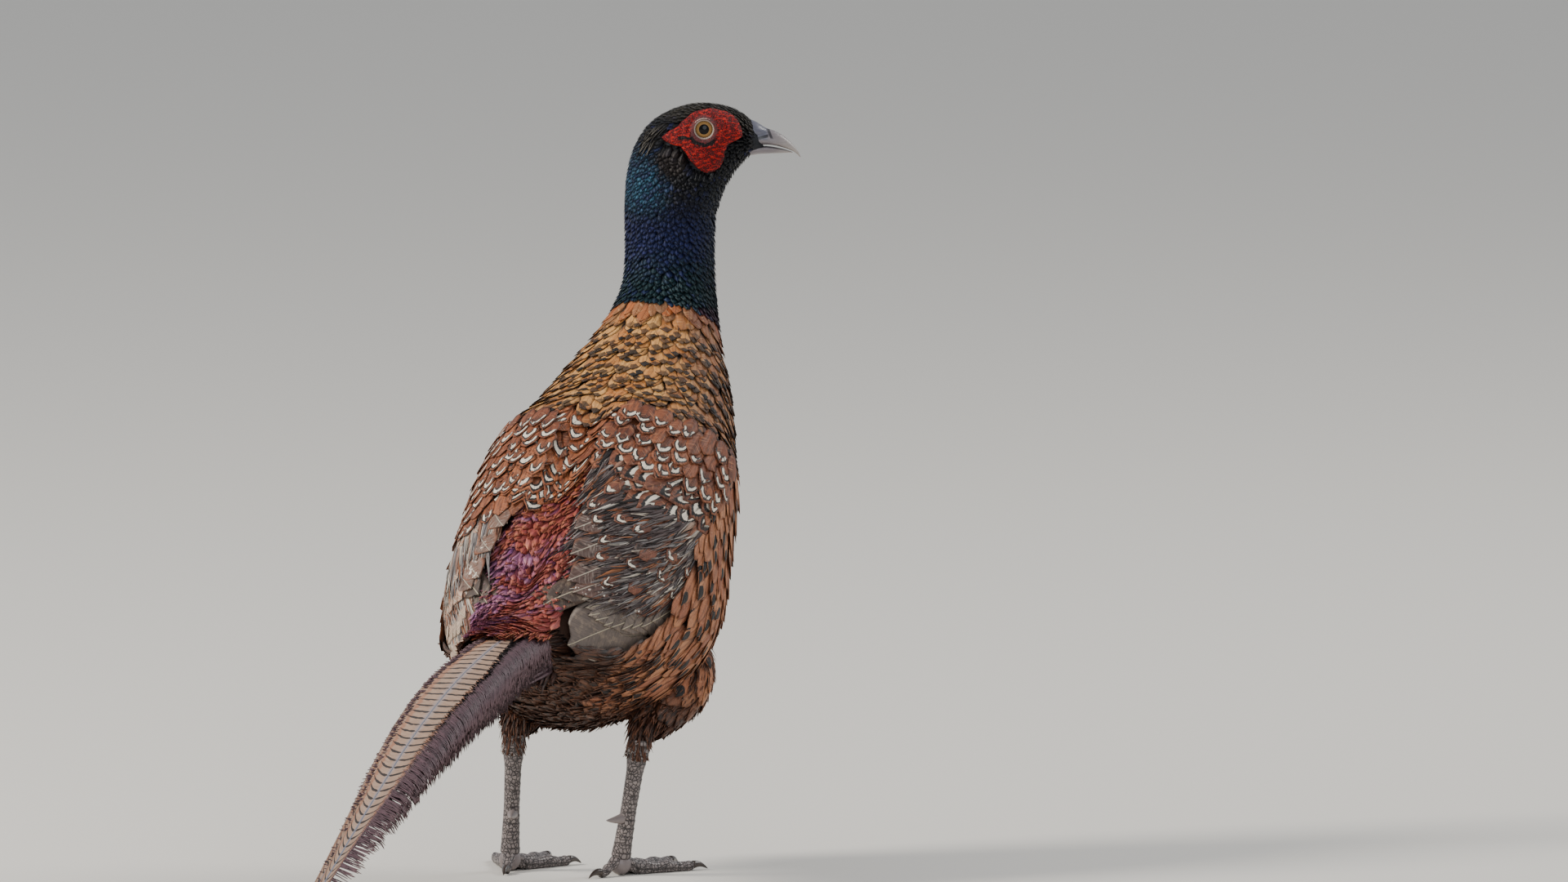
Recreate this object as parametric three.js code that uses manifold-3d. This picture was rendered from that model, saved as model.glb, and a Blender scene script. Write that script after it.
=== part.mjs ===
// A cock common pheasant standing alert, life size, in millimetres.
// +Y is the way the body faces, +X its right side and +Z up. Its toes and hind toes rest on Z = 0.
// The trunk slopes up to an upright neck, the head is turned to the right, and the long tail
// slopes down behind. Flight, covert and tail feathers are thin vanes in overlapping tiers.
import * as THREE from "three";
import { mergeVertices } from "three/addons/utils/BufferGeometryUtils.js";
import Module from "manifold-3d";

const wasm = await Module();
wasm.setup();

const DEG = Math.PI / 180;
const GAP = 0.35; // clearance between neighbouring pieces
const VANE = 0.5; // thickness of a feather vane
const HEAD_HEADING = 23 * DEG; // the bill points this far forward of straight right
const EYE_MIDDLE = new THREE.Vector3(15.1, 125.4, 346.7); // midway between the eyes
const EYE_RADIUS = 6.2;
const EYE_SINK = 4.4; // how far the eyeball's centre lies under the side of the head
const TORSO_TOP = 9.6; // section of TRUNK where the torso ends and the neck begins
const NECK_TOP = 11.6; // section where the neck ends and the head begins
const NECK_SIDES = 26;
const HEAD_RINGS = 17;
const HEAD_SIDES = 20;
const TAIL_LENGTH = 450;
const TAIL_YAW = 10 * DEG; // the tail swings this far towards the bird's right
const TOE_RADIUS = 3.6;

// Sections of the trunk and neck from the tail up: the back's y and z, the belly's y and z,
// the half width, and how far from back to belly the widest place is
const TRUNK = [
  [-54, 114, -46, 96, 12, 0.5],
  [-50, 128, -38, 84, 28, 0.45],
  [-45, 146, -16, 73, 42, 0.42],
  [-31, 167, 16, 70, 50, 0.4],
  [-10, 186, 50, 80, 53, 0.38],
  [8, 202, 80, 100, 56, 0.36],
  [28, 216, 102, 132, 55, 0.36],
  [48, 231, 117, 165, 50.5, 0.37],
  [70, 246, 128, 198, 41, 0.4],
  [87, 261, 136, 229, 30, 0.45],
  [96, 277, 141, 257, 23, 0.5],
  [97.5, 295, 140.5, 287, 21, 0.5],
  [98, 312, 140, 310, 20.5, 0.5],
];
// The outer face of the folded wings as if they ran right round the bird, from tips to shoulders
const WING_SHELL = [
  [-72, 130, -38, 72, 40, 0.45],
  [-62, 146, -16, 66, 48.5, 0.43],
  [-48, 162, 6, 66, 55.5, 0.42],
  [-31, 177, 34, 72, 60, 0.4],
  [-11, 193, 60, 84, 62, 0.38],
  [9, 209, 86, 106, 62, 0.36],
  [29, 223, 106, 136, 60, 0.36],
  [48, 238, 121, 168, 55, 0.37],
];
// Sections of the head from the nape round to the bill: the crown's place forward of and above
// the eye, the throat's, and the half width
const HEAD = [
  [-38.0, -42, 5.8, -41.4, 20.6, 0.5],
  [-37.6, -29, 9.6, -31, 19.4, 0.5],
  [-36, -17.5, 12.2, -26, 17.8, 0.5],
  [-32, -6.5, 15, -21.6, 16.6, 0.5],
  [-25.4, 2.4, 17.6, -18.6, 15.8, 0.48],
  [-15.4, 8.6, 20, -16, 15.2, 0.46],
  [-4.4, 11.5, 22.5, -14, 14.4, 0.46],
  [6, 11.2, 25, -13.2, 13, 0.48],
  [14.5, 9, 27, -12.8, 10.4, 0.5],
  [21, 4.8, 28.6, -12.5, 7.6, 0.5],
  [24.5, 0.5, 29.5, -12.3, 5, 0.5],
];
// Upper and lower bill, in the same terms as the head
const UPPER_BILL = [
  [15, 3.2, 13.5, -9.6, 6.4, 0.75],
  [20, 4, 18.5, -9.4, 6.4, 0.75],
  [24.5, 2.6, 23.4, -8.8, 5.9, 0.75],
  [29.1, -0.3, 29.8, -8.4, 5.0, 0.75],
  [33.6, -1.9, 34, -8.9, 4.3, 0.75],
  [38.1, -4.5, 37.8, -9.9, 3.3, 0.7],
  [41.9, -8, 41, -11, 2.1, 0.6],
  [44.4, -11.2, 43.7, -12.6, 1.1, 0.5],
  [45.9, -14.2, 45.5, -14.4, 0.3, 0.5],
];
const LOWER_BILL = [
  [14, -10.1, 15, -14.4, 5.8, 0.25],
  [19, -9.9, 20.5, -13.8, 5.5, 0.25],
  [24, -9.3, 26, -13.0, 4.7, 0.25],
  [30, -9.1, 31, -12.7, 3.8, 0.25],
  [36, -10.1, 36.4, -12.5, 2.7, 0.3],
  [40.2, -11.3, 40.4, -12.3, 1.4, 0.4],
  [42, -12, 42, -12.3, 0.4, 0.5],
];
// Outline of the red face skin, forward of and above the eye, going round from the front
const WATTLE_RIM = [
  [18.4, -3.4],
  [17.6, 0.4],
  [15.8, 4.2],
  [12.5, 7.1],
  [7.4, 8.6],
  [1.8, 9.3],
  [-2.1, 8.6],
  [-7.9, 5.4],
  [-12.4, 1],
  [-20.2, -4.2],
  [-11, -8],
  [-8.5, -11.1],
  [-5.9, -15.3],
  [-2.7, -18.5],
  [0.4, -20.5],
  [4.3, -20.2],
  [7.5, -18.2],
  [9.4, -14.4],
  [9.8, -10.5],
  [11.4, -7.2],
  [14.6, -5.6],
];

// The row of a table at a fractional place, on a smooth curve through its rows
function rowAt(table, place) {
  const last = table.length - 1;
  const t = Math.min(Math.max(place, 0), last);
  const i = Math.min(Math.floor(t), last - 1);
  const f = t - i;
  return table[i].map((_, column) => {
    const b = table[i][column];
    const c = table[i + 1][column];
    const a = i > 0 ? table[i - 1][column] : 2 * b - c;
    const d = i < last - 1 ? table[i + 2][column] : 2 * c - b;
    const square = 2 * a - 5 * b + 4 * c - d;
    const cube = 3 * b - a - 3 * c + d;
    return 0.5 * (2 * b + (c - a) * f + square * f ** 2 + cube * f ** 3);
  });
}

// A point of a lofted section in its own plane: along the back-to-belly plane twice, and sideways
function sectionPoint(table, place, angle, grow) {
  const [backA, backB, bellyA, bellyB, halfWidth, widest] = rowAt(table, place);
  const depth = Math.hypot(backA - bellyA, backB - bellyB);
  const upA = (backA - bellyA) / depth;
  const upB = (backB - bellyB) / depth;
  const c = Math.cos(angle);
  const reach = ((c > 0 ? widest : 1 - widest) * depth + grow) * c - widest * depth;
  return [backA + upA * reach, backB + upB * reach, (halfWidth + grow) * Math.sin(angle)];
}

// A point on the trunk or the wing shell: angle 0 is the back and 90 degrees the right side
function trunkPoint(table, place, angle, grow = 0) {
  const [y, z, x] = sectionPoint(table, place, angle, grow);
  return new THREE.Vector3(x, y, z);
}

const FORWARD = new THREE.Vector3(Math.cos(HEAD_HEADING), Math.sin(HEAD_HEADING), 0);
const SIDEWAYS = new THREE.Vector3(Math.sin(HEAD_HEADING), -Math.cos(HEAD_HEADING), 0);

// A point of the head from its place forward of, beside and above the middle of the eyes
function headPlace(forward, side, above) {
  return EYE_MIDDLE.clone()
    .addScaledVector(FORWARD, forward)
    .addScaledVector(SIDEWAYS, side)
    .add(new THREE.Vector3(0, 0, above));
}

function headPoint(table, place, angle, grow = 0) {
  const [forward, above, side] = sectionPoint(table, place, angle, grow);
  return headPlace(forward, side, above);
}

// A closed solid from rings of equal length. Its ends are closed by fans round their middles.
function ringSolid(rings) {
  const around = rings[0].length;
  const points = rings.flat();
  const triangles = ringWalls(rings.length, around, Infinity);
  for (const [first, turned] of [
    [0, true],
    [(rings.length - 1) * around, false],
  ]) {
    const middle = new THREE.Vector3();
    for (let i = 0; i < around; i++) middle.addScaledVector(points[first + i], 1 / around);
    points.push(middle);
    for (let i = 0; i < around; i++) {
      const edge = [first + i, first + ((i + 1) % around)];
      triangles.push(...(turned ? edge.reverse() : edge), points.length - 1);
    }
  }
  return solidFrom(points, triangles);
}

// The side walls of a ring solid. From ring place `mirrorFrom` on, the quads are split the
// other way, so that the two faces of a thin sheet are split alike.
function ringWalls(ringCount, around, mirrorFrom) {
  const triangles = [];
  for (let r = 0; r < ringCount - 1; r++) {
    for (let i = 0; i < around; i++) {
      const a = r * around + i;
      const b = r * around + ((i + 1) % around);
      const c = a + around;
      const d = b + around;
      if (i >= mirrorFrom) triangles.push(a, b, c, b, d, c);
      else triangles.push(a, b, d, a, d, c);
    }
  }
  return triangles;
}

// A thin closed sheet from rings that run across its upper face and back along its lower one
function sheetSolid(rings) {
  const around = rings[0].length;
  const half = around / 2;
  const triangles = ringWalls(rings.length, around, half);
  for (const [first, turned] of [
    [0, true],
    [(rings.length - 1) * around, false],
  ]) {
    for (let i = 0; i < half - 1; i++) {
      const [a, b, c, d] = [i, i + 1, around - 2 - i, around - 1 - i].map((k) => first + k);
      triangles.push(...(turned ? [c, b, a, d, c, a] : [a, b, c, a, c, d]));
    }
  }
  return solidFrom(rings.flat(), triangles);
}

function solidFrom(points, triangles) {
  const vertProperties = new Float32Array(points.flatMap((p) => [p.x, p.y, p.z]));
  const triVerts = new Uint32Array(triangles);
  const make = () => new wasm.Manifold(new wasm.Mesh({ numProp: 3, vertProperties, triVerts }));
  const made = make();
  if (made.volume() > 0) return made;
  for (let i = 0; i < triVerts.length; i += 3) {
    [triVerts[i + 1], triVerts[i + 2]] = [triVerts[i + 2], triVerts[i + 1]];
  }
  return make();
}

// A three.js primitive as a solid
function solidOf(geometry) {
  geometry.deleteAttribute("normal");
  geometry.deleteAttribute("uv");
  const merged = mergeVertices(geometry, 1e-4);
  return new wasm.Manifold(
    new wasm.Mesh({
      numProp: 3,
      vertProperties: merged.attributes.position.array,
      triVerts: new Uint32Array(merged.index.array),
    }),
  );
}

// Joins solids and keeps only the largest closed surface
function joined(solids) {
  let whole = solids[0];
  for (const other of solids.slice(1)) whole = whole.add(other);
  return largest(whole);
}

function largest(solid) {
  return solid.decompose().sort((a, b) => b.volume() - a.volume())[0];
}

function range(count, make) {
  return Array.from({ length: count }, (_, i) => make(i));
}

// Evenly spaced numbers from a to b, both included
function steps(a, b, count) {
  return range(count, (i) => a + ((b - a) * i) / (count - 1));
}

// A loft from one place of a table to another
function loftSolid(pointAt, table, from, to, along, around, grow = 0) {
  return ringSolid(
    steps(from, to, along).map((place) =>
      range(around, (i) => pointAt(table, place, (i / around) * 2 * Math.PI, grow)),
    ),
  );
}

function torsoSolid(grow) {
  return loftSolid(trunkPoint, TRUNK, 0, TORSO_TOP, 17, 28, grow);
}
const torsoRoom = torsoSolid(GAP);

// The neck: the trunk's upper sections, which turn into the head's lowest one
function neckSolid() {
  const turn = 90 * DEG - HEAD_HEADING;
  const bottomLift = GAP / 14; // one section of the trunk is about 14 mm of neck
  return ringSolid(
    steps(TORSO_TOP + bottomLift, NECK_TOP, 8).map((place) =>
      range(NECK_SIDES, (i) => {
        const angle = (i / NECK_SIDES) * 2 * Math.PI;
        const own = trunkPoint(TRUNK, place, angle);
        const head = headPoint(HEAD, 0, angle + turn);
        const share = THREE.MathUtils.smoothstep(place, 10.2, NECK_TOP);
        const z = place === NECK_TOP ? head.z - GAP : own.z;
        return new THREE.Vector3(
          THREE.MathUtils.lerp(own.x, head.x, share),
          THREE.MathUtils.lerp(own.y, head.y, share),
          THREE.MathUtils.lerp(z, Math.min(z, head.z - GAP), share),
        );
      }),
    ),
  );
}

// Where the head's side is, and which way it faces, at a place forward of and above the eye
function headSide(forward, above) {
  let best = { off: Infinity };
  const look = (place, angle) => {
    const [f, a, side] = sectionPoint(HEAD, place, angle, 0);
    const off = Math.hypot(f - forward, a - above);
    if (off < best.off) best = { off, place, angle, side };
  };
  for (let place = 1; place < 10; place += 0.2) {
    for (let angle = 10; angle < 170; angle += 4) look(place, angle * DEG);
  }
  for (let reach = 0.15; reach > 1e-4; reach /= 2) {
    for (let tries = 0; tries < 3; tries++) {
      const { place, angle } = best;
      for (const [p, a] of [
        [1, 0],
        [-1, 0],
        [0, 1],
        [0, -1],
        [1, 1],
        [-1, -1],
        [1, -1],
        [-1, 1],
      ]) {
        look(place + p * reach, angle + a * reach * 0.5);
      }
    }
  }
  return best.side;
}

function eyeCentre(side) {
  return headPlace(0, side * (headSide(0, 0) - EYE_SINK), 0);
}

function eyeSolid(side, radius) {
  const c = eyeCentre(side);
  const eye = new THREE.SphereGeometry(radius, 14, 9).rotateX(90 * DEG);
  return solidOf(eye.translate(c.x, c.y, c.z));
}

function ellipsoid(centre, radii, turn = 0) {
  const g = new THREE.SphereGeometry(1, 10, 6);
  g.scale(...radii);
  g.rotateY(turn);
  g.rotateZ(HEAD_HEADING);
  return solidOf(g.translate(centre.x, centre.y, centre.z));
}

// The red face skin: a plate on the side of the head from the eyelids out to its rim,
// with low folds that ring the eye and a raised lid
const LID_RADIUS = 4.8;
const WATTLE_LIFT = 0.7; // from the side of the head to the plate's underside
function wattleSolid(side) {
  const around = 24;
  const rim = WATTLE_RIM.map(([f, a]) => ({ angle: Math.atan2(a, f), far: Math.hypot(f, a) }));
  const reachAt = (angle) => {
    for (let i = 0; i < rim.length; i++) {
      const a = rim[i];
      const b = rim[(i + 1) % rim.length];
      let span = b.angle - a.angle;
      if (span < 0) span += 2 * Math.PI;
      let into = angle - a.angle;
      into -= Math.floor(into / (2 * Math.PI)) * 2 * Math.PI;
      if (into <= span) return THREE.MathUtils.lerp(a.far, b.far, into / span);
    }
    return rim[0].far;
  };
  const outward = [0, 0.16, 0.45, 0.72, 1];
  const heights = [1.5, 1.2, 1.35, 1.2, 0.6];
  const place = (angle, share, height) => {
    const far = THREE.MathUtils.lerp(LID_RADIUS, reachAt(angle), share);
    const forward = far * Math.cos(angle);
    const above = far * Math.sin(angle);
    const lid = Math.min(share / outward[1], 1);
    const level = THREE.MathUtils.lerp(headSide(0, 0), headSide(forward, above), lid);
    return headPlace(forward, side * (level + height), above);
  };
  const layer = (high) =>
    outward.map((share, ring) =>
      range(around, (i) => {
        const angle = (i / around) * 2 * Math.PI;
        const fold = 0.22 * Math.sin(9 * angle + 2 * ring) * Math.sin(Math.PI * share);
        return place(angle, share, WATTLE_LIFT + (high ? heights[ring] + fold : 0));
      }),
    );
  const top = layer(true);
  const bottom = layer(false);
  const rings = [...bottom.slice().reverse(), ...top];
  // A ring-shaped loft closed on itself: its rings run out along the top and back underneath
  const points = rings.flat();
  const triangles = [];
  for (let r = 0; r < rings.length; r++) {
    const next = (r + 1) % rings.length;
    for (let i = 0; i < around; i++) {
      const j = (i + 1) % around;
      const a = r * around + i;
      const b = r * around + j;
      const c = next * around + i;
      const d = next * around + j;
      if (r < outward.length - 1) triangles.push(a, b, c, b, d, c);
      else triangles.push(a, b, d, a, d, c);
    }
  }
  return solidFrom(points, triangles);
}

function upperBillSolid(grow) {
  const horn = loftSolid(headPoint, UPPER_BILL, 0, 8, 12, 14, grow);
  const flaps = [1, -1].map((side) =>
    ellipsoid(headPlace(23.6, side * 3.9, -0.6), [4.6 + grow, 1.9 + grow, 2.9 + grow], 25 * DEG),
  );
  return joined([horn, ...flaps]);
}

function nostrilSolid(side) {
  return ellipsoid(headPlace(26.4, side * 5.6, -2.4), [2.6, 1.3, 0.8], 28 * DEG);
}

// The head with room for the bill and the eyeballs
function headSolid() {
  let head = loftSolid(headPoint, HEAD, 0, 10, HEAD_RINGS, HEAD_SIDES);
  const eyes = [1, -1].map((side) => eyeSolid(side, EYE_RADIUS + GAP));
  for (const solid of [upperBillSolid(GAP), lowerBillSolid(GAP), ...eyes]) head = head.subtract(solid);
  return largest(head);
}

function lowerBillSolid(grow) {
  return loftSolid(headPoint, LOWER_BILL, 0, 6, 10, 14, grow);
}

// How wide a vane is along its length, as a share of its full width: narrow at the root,
// full to tipStart, then rounded off
function bluntWidth(share, tipStart = 0.7) {
  if (share < 0.3) return 0.5 + 0.5 * (share / 0.3);
  if (share < tipStart) return 1;
  const into = (share - tipStart) / (1 - tipStart);
  return Math.max(0.15, Math.sqrt(1 - into * into));
}

// The same for a long tail feather, which narrows from early on to a slim tip
function slimWidth(share) {
  if (share < 0.12) return 0.45 + 0.55 * (share / 0.12);
  return 1 - 0.84 * Math.max(0, (share - 0.3) / 0.7) ** 1.15;
}

// A thin closed vane. at(share, across, lift) gives a point: share runs from root to tip,
// across from -1 to 1, and lift is above the vane's middle surface.
const SHAFT_RISE = 0.1; // how much the middle of a vane stands above its edges
const BLUNT_SHARES = [0, 0.14, 0.6, 0.88, 1];
const SLIM_SHARES = [0, 0.1, 0.3, 0.6, 0.85, 1];
const LONG_SHARES = [0, 0.06, 0.18, 0.34, 0.5, 0.66, 0.83, 1];
function vaneSolid(at, shares) {
  return sheetSolid(
    shares.map((share) => [
      at(share, -1, VANE / 2),
      at(share, 0, VANE / 2 + SHAFT_RISE),
      at(share, 1, VANE / 2),
      at(share, 1, -VANE / 2),
      at(share, 0, -VANE / 2 + SHAFT_RISE),
      at(share, -1, -VANE / 2),
    ]),
  );
}

// The wing's inner, upper edge and its outer, lower edge on the shell, in radians
const WING_FRONT = 6.5;
function wingSpan(place) {
  const q = place / WING_FRONT;
  return [(18 + 10 * q) * DEG, (88 + 34 * Math.sin(Math.PI * Math.min(q * 0.75 + 0.02, 1))) * DEG];
}

// A point of the wing: place along the shell, across from 0, the upper edge, to 1, the lower
function wingPoint(side, place, across, grow) {
  const [upper, lower] = wingSpan(Math.max(place, 0));
  return trunkPoint(WING_SHELL, place, side * (upper + (lower - upper) * across), grow);
}

// Tiers of vanes from the lowest up: how many, where their roots and their tips lie along the
// shell, how much less far the tips at the tier's edges reach, and their height against the
// shell just behind their roots and at their tips
const TIERS = [
  { count: 8, root: 2.9, tip: 0.3, lag: 1.4, low: -4.4, high: -4 },
  { count: 7, root: 4.2, tip: 1.75, lag: 0.7, low: -1.6, high: -1.2 },
  { count: 6, root: 5.4, tip: 3.2, lag: 0.4, low: 1.2, high: 1.6 },
];
const ROOT_SUNK = 2.4; // how far a vane's root lies in the wing's body
const SHINGLE = 1; // how much higher one vane lies than the one it overlaps
const WING_SWEEP = 0.04; // how far a vane's tip swings inwards, as a share of the wing's breadth
const BASE_DEPTH = 6.9; // how deep the wing's body lies under the shell where the vanes cover it

// How high the wing's body reaches against the shell: full at the shoulder, sunk further back
function bodyHeight(place) {
  return -THREE.MathUtils.lerp(BASE_DEPTH, 0.9, THREE.MathUtils.smoothstep(place, 2.4, 5.6));
}

function wingBase(side) {
  const places = steps(1.6, WING_FRONT, 8);
  const across = steps(0.02, 0.98, 9);
  return sheetSolid(
    places.map((place, row) => {
      const end = row === 0 || row === places.length - 1;
      const under = (i) => bodyHeight(place) - (end || i === 0 || i === across.length - 1 ? 1.8 : 6.5);
      const top = across.map((a) => wingPoint(side, place, a, bodyHeight(place)));
      const bottom = across.map((a, i) => wingPoint(side, place, a, under(i)));
      return [...top, ...bottom.reverse()];
    }),
  );
}

function wingVane(side, tier, index) {
  const middle = (index + 0.5) / tier.count;
  const tip = tier.tip + tier.lag * Math.abs(2 * middle - 0.95) ** 2.2;
  const halfSpan = 1.02 / tier.count;
  return vaneSolid((share, across, lift) => {
    const place = THREE.MathUtils.lerp(tier.root, tip, share);
    const free = THREE.MathUtils.lerp(tier.low, tier.high, share);
    const height = share === 0 ? bodyHeight(place) - ROOT_SUNK : free;
    const width = halfSpan * bluntWidth(share);
    const tilt = SHINGLE * across * width * tier.count;
    const sweep = WING_SWEEP * (share - 0.5);
    const at = THREE.MathUtils.clamp(middle + across * width - sweep, 0.005, 0.995);
    return wingPoint(side, place, at, height + tilt + lift);
  }, BLUNT_SHARES);
}

// The long primaries show as two slim tips, which come out under the tiers and lie over the
// rump towards the middle
const PRIMARIES = [
  { from: [2.6, 66], to: [-0.2, 20], width: 6.5 },
  { from: [2.4, 78], to: [0.1, 32], width: 7 },
];
function primaryVane(side, { from, to, width }, index) {
  return vaneSolid((share, across, lift) => {
    const place = THREE.MathUtils.lerp(from[0], to[0], share);
    const angle = side * THREE.MathUtils.lerp(from[1], to[1], share ** 1.2) * DEG;
    const height = THREE.MathUtils.lerp(-8.2, -2.6, share) - 1.2 * index;
    const slide = (across * width * bluntWidth(share, 0.55) * side) / 48;
    return trunkPoint(WING_SHELL, place, angle + slide, height + lift);
  }, SLIM_SHARES);
}

function wingSolid(side) {
  const pieces = [wingBase(side)];
  for (const tier of TIERS) {
    for (let i = 0; i < tier.count; i++) pieces.push(wingVane(side, tier, i));
  }
  pieces.push(...PRIMARIES.map((primary, index) => primaryVane(side, primary, index)));
  return largest(joined(pieces).subtract(torsoRoom));
}

// The tail's ridge line: its slope down, in degrees, at lengths along it
const TAIL_ROOT = new THREE.Vector3(-3, -44, 127);
const TAIL_SLOPES = [
  [0, 2],
  [120, 8],
  [200, 12.5],
  [275, 16.5],
  [470, 18],
];
function tailSlope(length) {
  const next = TAIL_SLOPES.findIndex(([at]) => length <= at);
  if (next === 0) return TAIL_SLOPES[0][1] * DEG;
  if (next < 0) return TAIL_SLOPES.at(-1)[1] * DEG;
  const [a, slopeA] = TAIL_SLOPES[next - 1];
  const [b, slopeB] = TAIL_SLOPES[next];
  return THREE.MathUtils.mapLinear(length, a, b, slopeA, slopeB) * DEG;
}

// The ridge point at a length along the tail, with the directions up and to the right there
function tailPlace(length) {
  const step = 5;
  let back = Math.min(length, 0);
  let down = 0;
  for (let done = 0; done < length; done += step) {
    const part = Math.min(step, length - done);
    back += part * Math.cos(tailSlope(done + part / 2));
    down += part * Math.sin(tailSlope(done + part / 2));
  }
  const slope = tailSlope(length);
  const [s, c] = [Math.sin(TAIL_YAW), Math.cos(TAIL_YAW)];
  return {
    ridge: TAIL_ROOT.clone().add(new THREE.Vector3(back * s, -back * c, -down)),
    up: new THREE.Vector3(Math.sin(slope) * s, -Math.sin(slope) * c, Math.cos(slope)),
    right: new THREE.Vector3(c, s, 0),
  };
}

// The folded tail is a roof: this is how far it falls at a distance from its ridge
function roofFall(x) {
  return 0.01 * x * x;
}

// A vane of the tail, `out` from the ridge and `depth` under the roof's top layer
function tailVane({ start, length, halfWidth, out, depth, widthAt, shares, sunk = 0 }) {
  return vaneSolid((share, across, lift) => {
    const { ridge, up, right } = tailPlace(start + length * share);
    const x = out + across * halfWidth * widthAt(share);
    const sink = share === 0 ? sunk : 0;
    return ridge.addScaledVector(right, x).addScaledVector(up, lift - depth - sink - roofFall(x));
  }, shares);
}

// The tail feathers in pairs from the middle out, each pair under the one before
const TAIL_LENGTHS = [1, 0.83, 0.68, 0.56, 0.46, 0.38, 0.32].map((share) => share * TAIL_LENGTH);
const LAYER = 1.2; // from one tail feather down to the next
const COVERT_LAYER = 1.1;
const COVERT_SPREAD = 13; // from the ridge to the outermost coverts
// The fleshy stump that holds the feathers: length along the ridge, half width, and how much
// its upper and lower faces are drawn in
const TAIL_STUMP = [
  [-6, 20, 0],
  [4, 23, 0],
  [15, 24, 0],
  [24, 20, 1],
  [30, 13, 3.5],
];
const STUMP_MIDDLE = 10; // depth of its middle under the ridge
function tailSolid() {
  const root = ringSolid(
    TAIL_STUMP.map(([at, wide, trim]) => {
      const { ridge, up, right } = tailPlace(at);
      return range(14, (i) => {
        const angle = (i / 14) * 2 * Math.PI;
        const square = (value) => Math.sign(value) * Math.sqrt(Math.abs(value));
        const x = wide * square(Math.cos(angle));
        const down = STUMP_MIDDLE - (STUMP_MIDDLE - 1 - trim) * square(Math.sin(angle));
        return ridge.clone().addScaledVector(right, x).addScaledVector(up, -down - roofFall(x));
      });
    }),
  );
  const pieces = [root];
  TAIL_LENGTHS.forEach((length, pair) => {
    [1, -1].forEach((side, second) => {
      pieces.push(
        tailVane({
          start: 4,
          length,
          halfWidth: 14 - 0.35 * pair,
          out: side * (1.5 + 1.7 * pair),
          depth: 2 + LAYER * (2 * pair + second),
          widthAt: slimWidth,
          shares: pair < 2 ? LONG_SHARES : SLIM_SHARES,
        }),
      );
    });
  });
  // Coverts over and under the roots of the tail feathers
  for (let i = 0; i < 5; i++) {
    const across = (i - 2) / 2;
    const covert = { out: COVERT_SPREAD * across, widthAt: bluntWidth, shares: BLUNT_SHARES };
    pieces.push(
      tailVane({
        ...covert,
        start: 2,
        length: 78 - 24 * across * across,
        halfWidth: 6.2,
        depth: (i % 2) * COVERT_LAYER - 0.6,
        sunk: 5,
      }),
      tailVane({
        ...covert,
        start: 10,
        length: 54 - 20 * across * across,
        halfWidth: 6,
        depth: 19.4 + (i % 2) * COVERT_LAYER,
        sunk: -5,
      }),
    );
  }
  return largest(joined(pieces).subtract(torsoRoom));
}

// A limb through points, with a radius at each
function limbSolid(stations, around, along) {
  const curve = new THREE.CatmullRomCurve3(stations.map(([x, y, z]) => new THREE.Vector3(x, y, z)));
  const radii = stations.map((s) => [s[3]]);
  const last = stations.length - 1;
  const frames = curve.computeFrenetFrames(along - 1);
  return ringSolid(
    steps(0, 1, along).map((share, row) => {
      const centre = curve.getPoint(share);
      const [radius] = rowAt(radii, share * last);
      return range(around, (i) => {
        const angle = (i / around) * 2 * Math.PI;
        return centre
          .clone()
          .addScaledVector(frames.normals[row], radius * Math.cos(angle))
          .addScaledVector(frames.binormals[row], radius * Math.sin(angle));
      });
    }),
  );
}

// Each leg: where the tibia's feathering swells, the hock and the ankle
const LEGS = {
  left: { side: -1, thigh: [-34, 42, 92], hock: [-31, 5, 67], ankle: [-38, 16, 7.5], heading: 4 },
  right: { side: 1, thigh: [34, 42, 92], hock: [33, 7, 67], ankle: [18, 18, 7.5], heading: -4 },
};
const TOES = [
  { name: "inner", angle: 27, length: 38 },
  { name: "middle", angle: 0, length: 51 },
  { name: "outer", angle: -29, length: 41 },
  { name: "hind", angle: 168, length: 15 },
];
const CLAW_LENGTH = 8.5;
const SOLE = 0.84; // height of a toe's middle over its flat sole, as a share of its radius
const KNUCKLE_RADIUS = 5.2;
const SPUR_RADIUS = 2.6;
const SPUR_LENGTH = 13;

function thighSolid({ thigh, hock }, grow) {
  const [x, y, z] = thigh;
  const stations = [
    [x * 0.85, y + 2, z + 22, 20],
    [x, y, z, 19.5],
    [(x + hock[0]) / 2, (y + hock[1]) / 2 - 1, (z + hock[2]) / 2 - 2, 12.5],
    [hock[0], hock[1] + 1.5, hock[2] + 3, 6.6],
  ];
  const grown = stations.map(([a, b, c, radius]) => [a, b, c, radius + grow]);
  grown.at(-1)[2] -= grow;
  return limbSolid(grown, 14, 7).subtract(torsoRoom);
}

// The knuckle where the toes meet
function knuckleSolid({ ankle: [x, y, z] }, grow) {
  const ball = new THREE.SphereGeometry(KNUCKLE_RADIUS + grow, 10, 6).rotateX(90 * DEG);
  return solidOf(ball.translate(x, y, z - 2));
}

// The shank's radius at shares of the way from hock to ankle
const SHANK_RADII = [
  [0.02, 5.2],
  [0.12, 5.4],
  [0.28, 3.9],
  [0.6, 3.7],
  [0.86, 4.3],
  [0.93, 4.5],
];
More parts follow.
